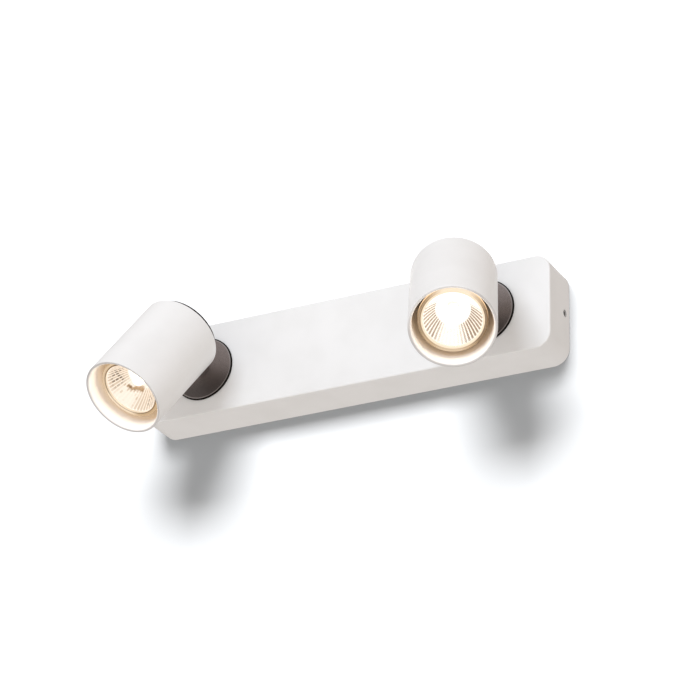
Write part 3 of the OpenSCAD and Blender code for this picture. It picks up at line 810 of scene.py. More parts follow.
@dataclass(frozen=True)
class Sleeving:
    """Extruded insulation of a lead, with an optional stripe along it.

    Args:
        name: the material's name.
        colour: main colour.
        stripe: colour of the stripe, or None.
    """

    name: str
    colour: Triple
    stripe: Optional[Triple] = None

    def build(self) -> bpy.types.Material:
        """Makes the material. The attribute `around` falls from 1 to 0 and rises again round the lead.

        Returns:
            The material.
        """
        g = Graph(self.name)
        g.surface(Specular_IOR_Level=0.5)
        darker = tuple(0.72 * c for c in self.colour)
        if self.stripe is None:
            tone = g.blend(g.remap(g.noise(size=2.5, detail=3.0), "Fac", 0.0, 1.0), 0, self.colour, darker)
        else:
            edge = g.remap(g.mark("around"), "Fac", 0.0, 1.0, 0.46, 0.54)
            tone = g.blend(edge, 0, self.colour, self.stripe)
        g.colour(tone)
        g.rough(g.noise(size=1.2, detail=3.0, seed=2.0), "Fac", 0.36, 0.5)
        g.bump(g.noise(size=0.5, detail=2.0, seed=3.0), "Fac", height=0.008, strength=0.6)
        return g.material


@dataclass(frozen=True)
class LitReflector:
    """Mirror-coated pressed glass round a lit lamp.

    The attribute `groove` is 1 in the valleys between the ribs and pillows and on a painted reflection of
    the lamp's dark base, `dash` is painted reflection where they mirror the dark base of the lamp, `glare`
    painted reflection where the ribs mirror the capsule itself, and `behind` is 1 on the outside, where the
    coating lets amber light through.

    Args:
        name: the material's name.
        white: glow of the capsule's mirror image.
        cream: glow of the ribs.
        amber: glow of the valleys.
        brown: glow of the dark mirror images.
        leak: glow of the outside.
        mirror: colour of the mirrored light on the ribs.
        bronze: colour of the mirrored light in the valleys.
        strength: brightness of the glow.
    """

    name: str = "lit_reflector"
    white: Triple = (1.20, 1.17, 1.12)
    cream: Triple = (1.0, 0.95, 0.87)
    amber: Triple = (0.29, 0.20, 0.135)
    brown: Triple = (0.10, 0.05, 0.02)
    leak: Triple = (0.35, 0.22, 0.12)
    mirror: Triple = (0.16, 0.15, 0.135)
    bronze: Triple = (0.05, 0.03, 0.02)
    strength: float = 1.0

    def build(self) -> bpy.types.Material:
        """Makes the material.

        Returns:
            The material.
        """
        g = Graph(self.name)
        g.surface(Metallic=1.0, Emission_Strength=self.strength)
        marks = {label: g.mark(label) for label in ("groove", "glare", "dash", "behind")}
        speckle = g.remap(g.noise(size=1.6, detail=3.0), "Fac", 0.85, 1.0, 0.35, 0.6)
        valley = g.product(marks["groove"], "Fac", speckle, 0)
        tone = g.blend(valley, 0, self.cream, self.amber)
        for label, colour in (("dash", self.brown), ("glare", self.white), ("behind", self.leak)):
            tone = g.over(tone, marks[label], "Fac", colour)
        g.colour(tone, 2, "Emission Color")
        g.colour(g.blend(valley, 0, self.mirror, self.bronze))
        g.rough(g.noise(size=0.8, detail=2.0, seed=3.0), "Fac", 0.14, 0.26)
        return g.material


@dataclass(frozen=True)
class AmberRim:
    """The reflector's bare glass rim, lit from inside.

    Args:
        name: the material's name.
        cream: glow of the painted highlights on its beads.
        amber: glow of the rest of its front.
        brown: glow of the painted shade marks.
        side: glow of the outer side, which lights the tube's bore.
        glass: colour of the glass itself.
    """

    name: str = "amber_glass_rim"
    cream: Triple = (0.90, 0.76, 0.58)
    amber: Triple = (0.52, 0.36, 0.20)
    brown: Triple = (0.14, 0.08, 0.03)
    side: Triple = (1.3, 0.88, 0.52)
    glass: Triple = (0.10, 0.07, 0.045)

    def build(self) -> bpy.types.Material:
        """Makes the material from the attributes `bead`, `step` and `edge`.

        Returns:
            The material.
        """
        g = Graph(self.name)
        g.surface(Emission_Strength=1.0, Coat_Weight=0.5, Coat_Roughness=0.1,
                  Base_Color=(*self.glass, 1.0), Specular_IOR_Level=0.3)
        tone = g.blend(g.mark("bead"), "Fac", self.amber, self.cream)
        for label, colour in (("step", self.brown), ("edge", self.side)):
            tone = g.over(tone, g.mark(label), "Fac", colour)
        g.colour(tone, 2, "Emission Color")
        g.rough(g.noise(size=1.5, detail=2.0), "Fac", 0.18, 0.3)
        return g.material


@dataclass(frozen=True)
class ThinGlass:
    """Clear glass that lets light straight through and mirrors at its edges.

    Args:
        name: the material's name.
        tint: colour of the light that passes.
        roughness: roughness of its gloss.
        waviness: height of its surface waves in millimetres.
        haze: light that the glass itself gives off round a filament.
    """

    name: str
    tint: Triple
    roughness: float = 0.04
    waviness: float = 0.004
    haze: float = 0.0

    def build(self) -> bpy.types.Material:
        """Makes the material.

        Returns:
            The material.
        """
        g = Graph(self.name)
        g.tree.nodes.remove(g.shader)
        clear = g.node("ShaderNodeBsdfTransparent", {"Color": (*self.tint, 1.0)})
        gloss = g.node("ShaderNodeBsdfGlossy",
                       {"Color": (1.0, 0.98, 0.95, 1.0), "Roughness": self.roughness})
        edge = g.node("ShaderNodeFresnel", {"IOR": 1.45})
        waves = g.node("ShaderNodeBump", {"Strength": 0.5, "Distance": self.waviness * MM})
        g.link(g.noise(size=1.6, detail=2.0), "Fac", waves, "Height")
        g.link(waves, "Normal", gloss, "Normal")
        g.link(waves, "Normal", edge, "Normal")
        faces = g.node("ShaderNodeNewGeometry")
        outer = g.node("ShaderNodeMath", {0: 1.0}, operation="SUBTRACT")
        g.link(faces, "Backfacing", outer, 1)
        share = g.product(edge, "Fac", outer, 0)
        both = g.node("ShaderNodeMixShader")
        g.link(share, 0, both, 0)
        g.link(clear, "BSDF", both, 1)
        g.link(gloss, "BSDF", both, 2)
        glow = g.node("ShaderNodeEmission", {"Color": (1.0, 0.95, 0.86, 1.0), "Strength": self.haze})
        total = g.node("ShaderNodeAddShader")
        g.link(both, "Shader", total, 0)
        g.link(glow, "Emission", total, 1)
        g.link(total, "Shader", g.output, "Surface")
        return g.material


@dataclass(frozen=True)
class Glow:
    """A surface that shines by itself, unevenly along it.

    Args:
        name: the material's name.
        hot: colour of the hottest parts.
        cool: colour of the cooler parts.
        strength: brightness.
    """

    name: str
    hot: Triple
    cool: Triple
    strength: float

    def build(self) -> bpy.types.Material:
        """Makes the material.

        Returns:
            The material.
        """
        g = Graph(self.name)
        g.surface(Base_Color=(0.2, 0.15, 0.1, 1.0), Emission_Strength=self.strength, Roughness=0.6)
        tone = g.blend(g.remap(g.noise(size=2.0, detail=2.0), "Fac", 0.0, 1.0), 0, self.hot, self.cool)
        g.colour(tone, 2, "Emission Color")
        return g.material


WHITE_COAT = PowderCoat("white_powder_coat", (0.86, 0.86, 0.855), (0.83, 0.83, 0.822))
TUBE_COAT = PowderCoat("white_tube_coat", (0.87, 0.868, 0.862), (0.84, 0.838, 0.83),
                       roughness=0.38, peel=1.0)
# Stretch along the right tube's own y over which its lamp lights the lip and the painted shade on the crest
# fades out, in millimetres
LIT_LIP = (8.0, 24.0)
BRONZE = BronzeCoat()
CAP_COAT = BronzeCoat("dark_cap_coat", (0.020, 0.017, 0.016), (0.042, 0.036, 0.034), gloss=0.25)
SHEET_ZINC = ZincPlate("zinc_sheet")
SCREW_ZINC = ZincPlate("zinc_screws", (0.76, 0.75, 0.72), (0.60, 0.60, 0.58), 0.8, (1.0, 1.0, 1.0))
BLACK_STEEL = DrawnMetal("black_steel", (0.045, 0.045, 0.048), (0.02, 0.018, 0.017), 0.4)
RUBBER = Moulded("grommet_rubber", (0.030, 0.030, 0.031), (0.018, 0.018, 0.018), 0.62, 0.4, 0.02, 0.4)
BLOCK_PLASTIC = Moulded("terminal_plastic", (0.80, 0.77, 0.67), (0.72, 0.68, 0.57), 0.45, 0.3, 0.008)
NYLON = Moulded("washer_nylon", (0.84, 0.82, 0.75), (0.76, 0.73, 0.65), 0.4, 0.4, 0.006)
CERAMIC = Moulded("fired_ceramic", (0.83, 0.80, 0.72), (0.74, 0.70, 0.60), 0.55, 0.18, 0.02, 0.45, 0.12)
BRASS = DrawnMetal("sleeve_brass", (0.78, 0.58, 0.27), (0.50, 0.33, 0.13))
COPPER = DrawnMetal("bare_copper", (0.86, 0.46, 0.28), (0.55, 0.27, 0.15), 0.28)
BROWN_LEAD = Sleeving("brown_insulation", (0.085, 0.032, 0.014))
BLUE_LEAD = Sleeving("blue_insulation", (0.020, 0.085, 0.33))
EARTH_LEAD = Sleeving("earth_insulation", (0.045, 0.30, 0.035), (0.72, 0.60, 0.02))
# The two leads that run side by side
LEAD_PAIR = (("brown", BROWN_LEAD), ("blue", BLUE_LEAD))
REFLECTOR = LitReflector()
# Glow of a lamp seen well off its axis, painted dimmer and more amber for that view.
SIDE_LIT_REFLECTOR = LitReflector("side_lit_reflector", cream=(0.96, 0.88, 0.79), amber=(0.50, 0.31, 0.15),
                                  leak=(0.80, 0.55, 0.33))
RIM_GLASS = AmberRim()
FRONT_GLASS = ThinGlass("front_glass", (0.985, 0.975, 0.955))
QUARTZ = ThinGlass("quartz", (1.0, 0.99, 0.97), 0.06, haze=0.5)
FILAMENT = Glow("filament_glow", (1.0, 0.93, 0.80), (1.0, 0.82, 0.58), 6.0)


class Palette:
    """Builds each finish once and hands it out."""

    def __init__(self) -> None:
        """Starts with nothing built."""
        self._made: dict[str, bpy.types.Material] = {}

    def get(self, finish: Any) -> bpy.types.Material:
        """The material of a finish, built on first use.

        Args:
            finish: the finish.

        Returns:
            The material.
        """
        if finish.name not in self._made:
            self._made[finish.name] = finish.build()
        return self._made[finish.name]

    def paint(self, obj: bpy.types.Object, finish: Any) -> None:
        """Gives an object one finish on all its slots.

        Args:
            obj: the object.
            finish: the finish.
        """
        material = self.get(finish)
        if not obj.material_slots:
            obj.data.materials.append(material)
        for slot in obj.material_slots:
            slot.material = material


@dataclass
class Assembly:
    """What every sub-assembly needs.

    Args:
        palette: the finishes.
        joints: the local frames.
    """

    palette: Palette
    joints: Joints

    def dress(self, finish: Any, names: Iterable[str]) -> None:
        """Gives nodes of the frame a finish.

        Args:
            finish: the finish.
            names: the nodes' names.
        """
        for name in names:
            self.palette.paint(frame["nodes"][name], finish)
            LOG.info("%s: %s", name, finish.name)

    def add(self, piece: bpy.types.Object, body: str, slot: str, finish: Any,
            replaces: Sequence[str] = ()) -> bpy.types.Object:
        """Gives a new piece its finish and its body.

        Args:
            piece: the new piece.
            body: the body that it moves with.
            slot: the record's material slot; not used.
            finish: its finish.
            replaces: nodes that it stands for.

        Returns:
            The piece.
        """
        self.palette.paint(piece, finish)
        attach(piece, body)
        if replaces:
            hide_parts(*replaces)
        LOG.info("%s: %d faces on %s, %s", piece.name, len(piece.data.polygons), body, finish.name)
        return piece


@dataclass
class LeadMaker(Assembly):
    """Insulated leads: smooth round tubes with both ends cut square.

    Args:
        radius: radius over the insulation.
        sides: points round a lead.
        bend_steps: points in each bend.
        nose: chamfer of the cut ends.
    """

    radius: float = 0.9
    sides: int = 20
    bend_steps: int = 9
    nose: float = 0.25

    def tube(self, name: str, corners: np.ndarray, bend: float, placing: Placing) -> bpy.types.Object:
        """Makes one lead along a route of corners.

        The tube is a circle carried along the rounded route, with a small chamfer at both cut ends.

        Args:
            name: the piece's name.
            corners: the route's corners in the placing's frame.
            bend: where each bend starts, before and after its corner.
            placing: the frame of the corners.

        Returns:
            The new piece.
        """
        route = rounded_route(corners, bend, self.bend_steps) if len(corners) > 2 else corners
        first = route[0] + self.nose * unit(route[1] - route[0])
        last = route[-1] + self.nose * unit(route[-2] - route[-1])
        route = np.concatenate([route[:1], first[None], route[1:-1], last[None], route[-1:]])
        radius = np.full(len(route), self.radius)
        radius[[0, -1]] -= self.nose
        grid = sweep(route, radius, self.sides)
        turn = np.abs(np.linspace(-1.0, 1.0, self.sides, endpoint=False))
        around = np.broadcast_to(turn, grid.shape[:2])
        return grid_piece(name, grid, placing, Skin(caps=True), {"around": around})


@dataclass(kw_only=True)
class Base(Assembly):
    """The base: cover, wall bracket, terminal block and what is on them.

    Args:
        leads: makes the leads.
        base_d: depth of the base off the wall.
        cover_t: thickness of the cover.
        bracket_t: thickness of the bracket.
        block_x: centre of the terminal block along the base.
        block_w: the block's length across the wires.
        block_l: its length along the base.
        pole_pitch: distance between its poles.
        tunnel_z: height of its wire tunnels off the wall.
        lane: height above the base's axis at which the leads run along the base.
        lead_turn: height off the wall at which the leads turn towards a joint.
        lead_bend: where each of their bends starts, before and after its corner.
        lead_gap: gap between two leads that run side by side.
        nipple_reach: length of a nipple behind the cover.
        end_gap: gap between a lead's end and the nipple.
        earth_ring: outer radius, bore radius and thickness of the ring under the earth screw.
        earth_gap: gap between the block and that ring.
        earth_over: how far the ring's centre lies past the block's edge.
        earth_reach: straight stretch of the earth lead out of the block.
        earth_bend: where each of its bends starts.
        ring_edge: chamfer of the ring.
        ring_columns: points round the ring.
    """

    leads: LeadMaker
    base_d: float = 35.0
    cover_t: float = 1.6
    bracket_t: float = 1.5
    block_x: float = 42.0
    block_w: float = 18.0
    block_l: float = 30.0
    pole_pitch: float = 10.0
    tunnel_z: float = 9.0
    lane: float = 24.0
    lead_turn: float = 10.0
    lead_bend: float = 5.0
    lead_gap: float = 0.4
    nipple_reach: float = 10.0
    end_gap: float = 0.3
    earth_ring: Triple = (3.6, 1.55, 0.8)
    earth_gap: float = 2.0
    earth_over: float = 1.0
    earth_reach: float = 6.0
    earth_bend: float = 3.5
    ring_edge: float = 0.15
    ring_columns: int = 40

    def build(self) -> None:
        """Dresses the base's nodes and makes its leads."""
        self.dress(WHITE_COAT, ["base_cover"])
        self.dress(SHEET_ZINC, ["wall_bracket"])
        self.dress(BLACK_STEEL, ["side_screws"])
        self.dress(RUBBER, ["cable_grommet"])
        self.dress(BLOCK_PLASTIC, ["terminal_block"])
        self.dress(BRASS, ["terminal_sleeves"])
        self.dress(SCREW_ZINC, ["terminal_screws", "block_screws", "earth_screw"])
        for side in Side:
            self.joint_leads(side)
        self.earth_lead()

    def joint_leads(self, side: Side) -> None:
        """Two leads from the terminal block along the base and down to a joint.

        Args:
            side: the joint's side.
        """
        s = side.sign
        step = 2 * self.leads.radius + self.lead_gap
        z = self.tunnel_z - s * step / 2
        end = self.base_d - self.cover_t - self.nipple_reach - self.end_gap
        spot_x = s * abs(self.joints.swivel(side).origin[0])
        for i, (label, finish) in enumerate(LEAD_PAIR):
            near = (s < 0) == (i == 0)
            x0 = self.block_x - (1 - i) * self.pole_pitch
            y1 = self.lane + (0 if near else step)
            x1 = spot_x + s * (-1 if near else 1) * step / 2
            corners = np.array([[x0, self.block_w / 2, z], [x0, y1, z], [x1, y1, z],
                                [x1, 0, self.lead_turn], [x1, 0, end]])
            name = f"{side.value}_{label}_lead"
            piece = self.leads.tube(name, corners, self.lead_bend, self.joints.wall())
            node = side.node("leads")
            self.add(piece, "base", "lead_insulation", finish, [node] if i == 0 else [])

    def earth_lead(self) -> None:
        """The protective lead with its ring under the earth screw."""
        outer, bore, thick = self.earth_ring
        x = self.block_x + self.pole_pitch
        y = self.block_w / 2
        ring_x = self.block_x + self.block_l / 2 + self.earth_gap + outer
        ring_y = y + self.earth_over
        r = self.leads.radius
        corners = np.array([[x, y, self.tunnel_z], [x, y + self.earth_reach, self.tunnel_z],
                            [ring_x, ring_y + self.earth_reach, self.tunnel_z - r],
                            [ring_x, ring_y + outer + r / 4, self.bracket_t + thick / 2]])
        wall = self.joints.wall()
        lead = self.leads.tube("earth_lead_sleeve", corners, self.earth_bend, wall)
        self.add(lead, "base", "earth_insulation", EARTH_LEAD, ["earth_lead"])
        z0, z1 = self.bracket_t, self.bracket_t + thick
        edge = self.ring_edge
        profile = np.array([[bore, z0], [outer - edge, z0], [outer, z0 + edge], [outer, z1 - edge],
                            [outer - edge, z1], [bore + edge, z1], [bore, z1 - edge]])
        grid = revolve(profile, self.ring_columns) + np.array([ring_x, ring_y, 0.0])
        ring = grid_piece("earth_lug", grid, wall, Skin(loop=True))
        self.add(ring, "base", "brass", COPPER)


@dataclass(kw_only=True)
class Swivel(Assembly):
    """What turns with a joint disc: the disc, the hollow neck and the parts on its nipple.

    Args:
        leads: makes the leads.
        lead_low: height of the leads' lower end, off the base's front face.
        lead_high: height of their upper end.
        lead_step: distance between the two.
    """

    leads: LeadMaker
    lead_low: float = -11.6
    lead_high: float = 23.5
    lead_step: float = 2.2

    def build(self, side: Side) -> None:
        """Dresses one joint and makes the leads in its neck.

        Args:
            side: the joint's side.
        """
        place = self.joints.swivel(side)
        # The disc's coat carries painted light: a highlight ring, a shaded edge and shade towards its lower
        # end.
        disc = replace(BRONZE, name=f"{side.value}_disc_coat_painted_light", metal=0.3, smoothness=0.38,
                       centre=place.origin[0])
        self.dress(disc, [side.node("joint_disc")])
        self.dress(BRONZE, [side.node("neck")])
        self.dress(SCREW_ZINC, [side.node(n) for n in ("stop_washer", "spring_washer", "neck_nut")])
        self.dress(NYLON, [side.node("slip_washer")])
        for s, (label, finish) in zip((-1, 1), LEAD_PAIR):
            x = s * self.lead_step / 2
            corners = np.array([[x, 0, self.lead_low], [x, 0, self.lead_high]])
            piece = self.leads.tube(f"{side.value}_neck_{label}_lead", corners, 0.0, place)
            node = side.node("neck_leads")
            self.add(piece, f"{side.value}_swivel", "lead_insulation", finish, [node] if s < 0 else [])


@dataclass
class Lamp(Assembly):
    """A lit reflector lamp: ribbed bowl, glass rim, front glass, capsule and filament.

    Args:
        view: direction towards the photograph's camera.
        rim_r: outer radius of the glass rim.
        lens_r: radius of the front glass.
        lens_z: height of its inner face.
        lens_t: thickness of the front glass, and height of the rim's beads over its inner face.
        lens_gap: gap between the front glass and the rim.
        lens_round: width and depth of the rounding at the glass's edge.
        dome_h: height of its dome.
        bead_r: radius of the rim's inner bead.
        outer_bead: half width and half height of its outer bead.
        rim_back: how far the rim's outer side reaches behind the front glass.
        rim_round: radius of its rear corner.
        throat_r: radius of the bowl's throat.
        throat_z: height of the throat.
        floor_r: inner and outer radius of the lit ring on the throat's floor.
        bowl_r: radius of the bowl at the front glass.
        glass_t: thickness of the bowl's wall.
        ribs: number of ribs.
        rib_h: height of a rib at the rim.
        rib_low: share of that height at the throat.
        pillow_l: length of a pillow.
        pillow_h: height of a pillow.
        steps_per_rib: points across a rib.
        bowl_rows: points from the throat to the rim.
        back_rows: points along the bowl's outside.
        cells: number of dashes that fit between the throat and the rim.
        ribs_b: bearings between which the ribs show their valleys, on both sides.
        dashes_b: bearings between which they mirror the lamp's base in dashes.
        stray_b: bearings between which fainter dashes lie.
        arc_b: bearings between which they mirror it as an arc.
        rim_columns: points round the rim.
        lens_columns: points round the front glass.
        capsule_columns: points round the capsule.
        capsule_r: radius of the capsule.
        capsule_l: its length up to the dome.
        dome_share: height of its dome as a share of a half ball's.
        capsule_neck: (radius, height over the throat) of its neck.
        capsule_tip: (radius, height over the dome's foot) of its melted tip.
        pinch_z: height over the throat at which the round bulb starts.
        pinch_h: height under that over which the pinch flattens.
        pinch: shares by which the pinch is wider along x and flatter along y.
        coil_r: radius of the filament's coil.
        coil_l: its length.
        coil_drop: height of its centre under the dome's foot.
        coil_turns: its number of turns.
        coil_steps: points in a turn.
        wire_r: radius of its wire.
        wire_sides: points round the wire.
        light_z: height of the light that leaves the lamp.
        light_r: radius of that light.
        light_w: its power in watts.
        light_hue: its colour.
    """

    view: Sequence[float]
    rim_r: float = 25.0
    lens_r: float = 21.2
    lens_z: float = 70.6
    lens_t: float = 1.9
    lens_gap: float = 0.05
    lens_round: float = 0.35
    dome_h: float = 0.33
    bead_r: float = 0.5
    outer_bead: tuple[float, float] = (1.25, 0.8)
    rim_back: float = 1.7
    rim_round: float = 0.6
    throat_r: float = 9.0
    throat_z: float = 49.56
    floor_r: tuple[float, float] = (4.4, 8.6)
    bowl_r: float = 21.0
    glass_t: float = 1.5
    ribs: int = 44
    rib_h: float = 0.55
    rib_low: float = 0.35
    pillow_l: float = 2.4
    pillow_h: float = 0.22
    steps_per_rib: int = 8
    bowl_rows: int = 90
    back_rows: int = 14
    cells: float = 8.0
    ribs_b: tuple[float, float] = (80, 138)
    dashes_b: tuple[float, float] = (104, 142)
    stray_b: tuple[float, float] = (244, 262)
    arc_b: tuple[float, float] = (166, 210)
    rim_columns: int = 180
    lens_columns: int = 120
    capsule_columns: int = 48
    capsule_r: float = 4.5
    capsule_l: float = 11.0
    dome_share: float = 0.82
    capsule_neck: Sequence[tuple[float, float]] = ((2.6, 0.1), (2.9, 0.6), (2.95, 3.0), (3.4, 4.3))
    capsule_tip: Sequence[tuple[float, float]] = ((0.95, 3.72), (0.7, 4.0), (0.35, 4.3), (0.0, 4.38))
    pinch_z: float = 5.2
    pinch_h: float = 2.2
    pinch: tuple[float, float] = (0.28, 0.62)
    coil_r: float = 1.15
    coil_l: float = 6.5
    coil_drop: float = 1.5
    coil_turns: int = 11
    coil_steps: int = 14
    wire_r: float = 0.16
    wire_sides: int = 6
    light_z: float = 72.8
    light_r: float = 23.6
    light_w: float = 0.0165
    light_hue: Triple = (1.0, 0.80, 0.62)

    @property
    def focal(self) -> float:
        """Focal length f of the parabola z = r^2 / 4f that runs from the throat to the lens."""
        return (self.bowl_r**2 - self.throat_r**2) / (4 * (self.lens_z - self.throat_z))

    def build(self, side: Side) -> None:
        """Makes one lamp's pieces.

        Args:
            side: the head's side.
        """
        body = f"{side.value}_head"
        place = self.joints.head(side)
        coating = SIDE_LIT_REFLECTOR if side is Side.LEFT else REFLECTOR
        self.add(self.reflector(side, place), body, "reflector_glass", coating, [side.node("reflector")])
        self.add(self.rim(side, place), body, "reflector_glass", RIM_GLASS)
        self.add(self.front_glass(side, place), body, "front_glass", FRONT_GLASS, [side.node("lamp_glass")])
        self.add(self.capsule(side, place), body, "capsule_glass", QUARTZ, [side.node("capsule")])
        self.add(self.filament(side, place), body, "capsule_glass", FILAMENT)
        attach(self.light(side, place), body)

    def light(self, side: Side, place: Placing) -> bpy.types.Object:
        """The light that leaves the lamp through its front glass.

        Args:
            side: the head's side.
            place: the head's frame.

        Returns:
            The light.
        """
        data = bpy.data.lights.new(side.node("lamp_light"), "AREA")
        data.shape = "DISK"
        data.size = 2 * self.light_r * MM
        data.energy = self.light_w
        data.color = self.light_hue
        lamp = bpy.data.objects.new(side.node("lamp_light"), data)
        lamp.location = place.apply(np.array([0.0, 0.0, self.light_z])) * MM
        lamp.rotation_euler = Vector(-place.turn[:, 2]).to_track_quat("Z", "Y").to_euler()
        lamp.visible_camera = False
        lamp.visible_glossy = False
        bpy.context.scene.collection.objects.link(lamp)
        return lamp

    def bowl_height(self, r: np.ndarray) -> np.ndarray:
        """Height of the bowl's inner face at a radius."""
        return self.throat_z + (r**2 - self.throat_r**2) / (4 * self.focal)

    def reflector(self, side: Side, place: Placing) -> bpy.types.Object:
        """Pressed glass bowl with ribs and pillows.

        Inside it is the parabola z = r^2 / 4f. It is raised along its own normal by h |cos(n a / 2)|,
        which gives n ribs with sharp valleys, and by p |cos(pi s / q)|, where s is the length along the
        parabola, which cuts the ribs' inner stretch into pillows of length q. Outside the bowl follows
        the same parabola, one wall further out. A flat lit ring lies on the throat's floor.

        Args:
            side: the head's side.
            place: the head's frame.

        Returns:
            The new piece, with the attributes `groove`, `glare`, `dash` and `behind`.
        """
        columns = self.ribs * self.steps_per_rib
        a = np.linspace(0.0, 2 * math.pi, columns, endpoint=False)[None, :]
        t = np.linspace(0.0, 1.0, self.bowl_rows)[:, None]
        r = self.throat_r + t * (self.bowl_r - self.throat_r)
        slope = r / (2 * self.focal)
        stretch = np.sqrt(1 + slope**2)
        s = np.cumsum(stretch, axis=0) * (self.bowl_r - self.throat_r) / (self.bowl_rows - 1)
        rib = np.abs(np.cos(self.ribs * a / 2))
        pillow = np.abs(np.cos(math.pi * s / self.pillow_l))
        ends = np.clip(t / 0.08, 0, 1) * np.clip((1 - t) / 0.05, 0, 1)
        soft = 1 - np.clip((t - 0.5) / 0.25, 0, 1)
        rise = self.rib_low + (1 - self.rib_low) * t
        lift = ends * (self.rib_h * rise * rib + self.pillow_h * soft * pillow)
        ring_r = r - lift * slope / stretch
        ring_z = self.bowl_height(r) + lift / stretch
        inside = np.stack([ring_r * np.cos(a), ring_r * np.sin(a), ring_z], axis=-1)
        back = np.linspace(self.bowl_r, self.throat_r, self.back_rows)
        lip_r = self.lens_r + self.lens_gap
        outside = np.stack([back + self.glass_t, self.bowl_height(back) - self.glass_t / 2], axis=-1)
        lip = np.array([[self.bowl_r + 0.2, self.lens_z], [lip_r, self.lens_z],
                        [lip_r + 0.6, self.lens_z - 0.8], [outside[0, 0], self.lens_z - 1.8]])
        shell = revolve(np.concatenate([lip, outside[1:]]), columns)
        floor = revolve(np.array([[edge, self.throat_z + 0.1] for edge in self.floor_r]), columns)
        groove, glare, dash = self.mirrored(a, t, ends * rib + 1 - ends, place)
        flat, still = np.zeros(shell.shape[:2]), np.zeros(floor.shape[:2])
        behind = flat + (np.arange(len(flat)) > 1)[:, None]
        values = {"groove": np.concatenate([still, groove, flat]),
                  "glare": np.concatenate([still + 1, glare, flat]),
                  "dash": np.concatenate([still, dash, flat]),
                  "behind": np.concatenate([still, 0 * groove, behind])}
        grid = np.concatenate([floor, inside, shell])
        return grid_piece(side.node("lamp_reflector"), grid, place, Skin(loop=True), values)

    def bearing(self, a: np.ndarray, place: Placing) -> tuple[np.ndarray, float]:
        """Angles round the axis from the viewer's own direction, and how far off the axis the view is.

        Args:
            a: angles in the head's frame, in radians.
            place: the head's frame.

        Returns:
            The angles from 0 to 360 degrees, and a share from 0 (along the axis) to 1 (from the side).
        """
        seen = np.array(self.view) @ place.turn
        side_on = float(smooth(math.hypot(seen[0], seen[1]), 0.5, 0.75))
        return np.degrees(a - math.atan2(seen[1], seen[0])) % 360, side_on

    def mirrored(self, a: np.ndarray, t: np.ndarray, crest: np.ndarray,
                 place: Placing) -> tuple[np.ndarray, np.ndarray, np.ndarray]:
        """What the ribs mirror, for someone who looks from the photograph's side.

        With b the angle from the viewer's own direction round the axis, 0 to 360 degrees, the ribs
        mirror the capsule towards the viewer and near the throat, and show their valleys on both sides.
        Opposite the viewer their outer half shows scattered dots. Seen from well off the axis they also
        mirror the lamp's dark base: in rows of uneven dashes, most of them on one side, and as an arc
        opposite the viewer. The strength of a dash or a dot goes by the fraction of
        43758 sin(13 i + 78 j), where i and j number its rib and its row.

        Args:
            a: angles of the columns (1, columns).
            t: how far each row is from the throat (0) to the rim (1), as (rows, 1).
            crest: height on the rib, 0 in the valleys and 1 on the crests (rows, columns).
            place: the head's frame.

        Returns:
            Strength of the grooves, of the glare and of the dashes, each (rows, columns).
        """
        b, side_on = self.bearing(a, place)
        fold = np.minimum(b, 360 - b)
        rib = np.floor(a * self.ribs / (2 * math.pi))
        along = self.cells * t + 0.37 * rib
        chance = np.abs(np.sin(13 * rib + 78 * np.floor(along)) * 43758) % 1
        cell = window(along % 1, 0.22, 0.78, 0.15) * smooth(1 - crest, 0.05, 0.4)

        lines = smooth(1 - crest, 0.0, 0.36) * window(fold, *self.ribs_b, 30) * smooth(t, 0.2, 0.35)
        dots = cell * smooth(chance, 0.4, 0.8) * window(t, 0.5, 0.85, 0.1) * smooth(fold, 145, 160)
        bend = 0.50 - 0.12 * smooth(b, 175, 200)
        arch = np.exp(-(((t - bend) / 0.055) ** 2)) * window(b, *self.arc_b, 6)
        ember = smooth(t, 0.18, 0.24) * (1 - smooth(t, bend - 0.03, bend + 0.03)) * window(b, 184, 210, 6)
        groove = lines * (1 - 0.4 * side_on) + dots * (0.15 + 0.35 * side_on)
        groove = groove + side_on * (arch + 0.7 * ember)

        reach = 0.33 - 0.20 * side_on * smooth(b, 175, 215)
        glare = np.maximum(1 - smooth(t, reach - 0.08, reach + 0.03), 1 - smooth(fold, 40, 75))

        rows = np.maximum(window(b, *self.dashes_b, 12), 0.55 * window(b, *self.stray_b, 8))
        rows = rows * window(t, 0.6, 0.8, 0.15)
        dash = side_on * (cell * smooth(chance, 0.05, 0.35) * rows + 0.6 * arch * smooth(chance, 0.3, 0.9))
        return np.clip(groove, 0, 1), glare, np.clip(dash, 0, 1)

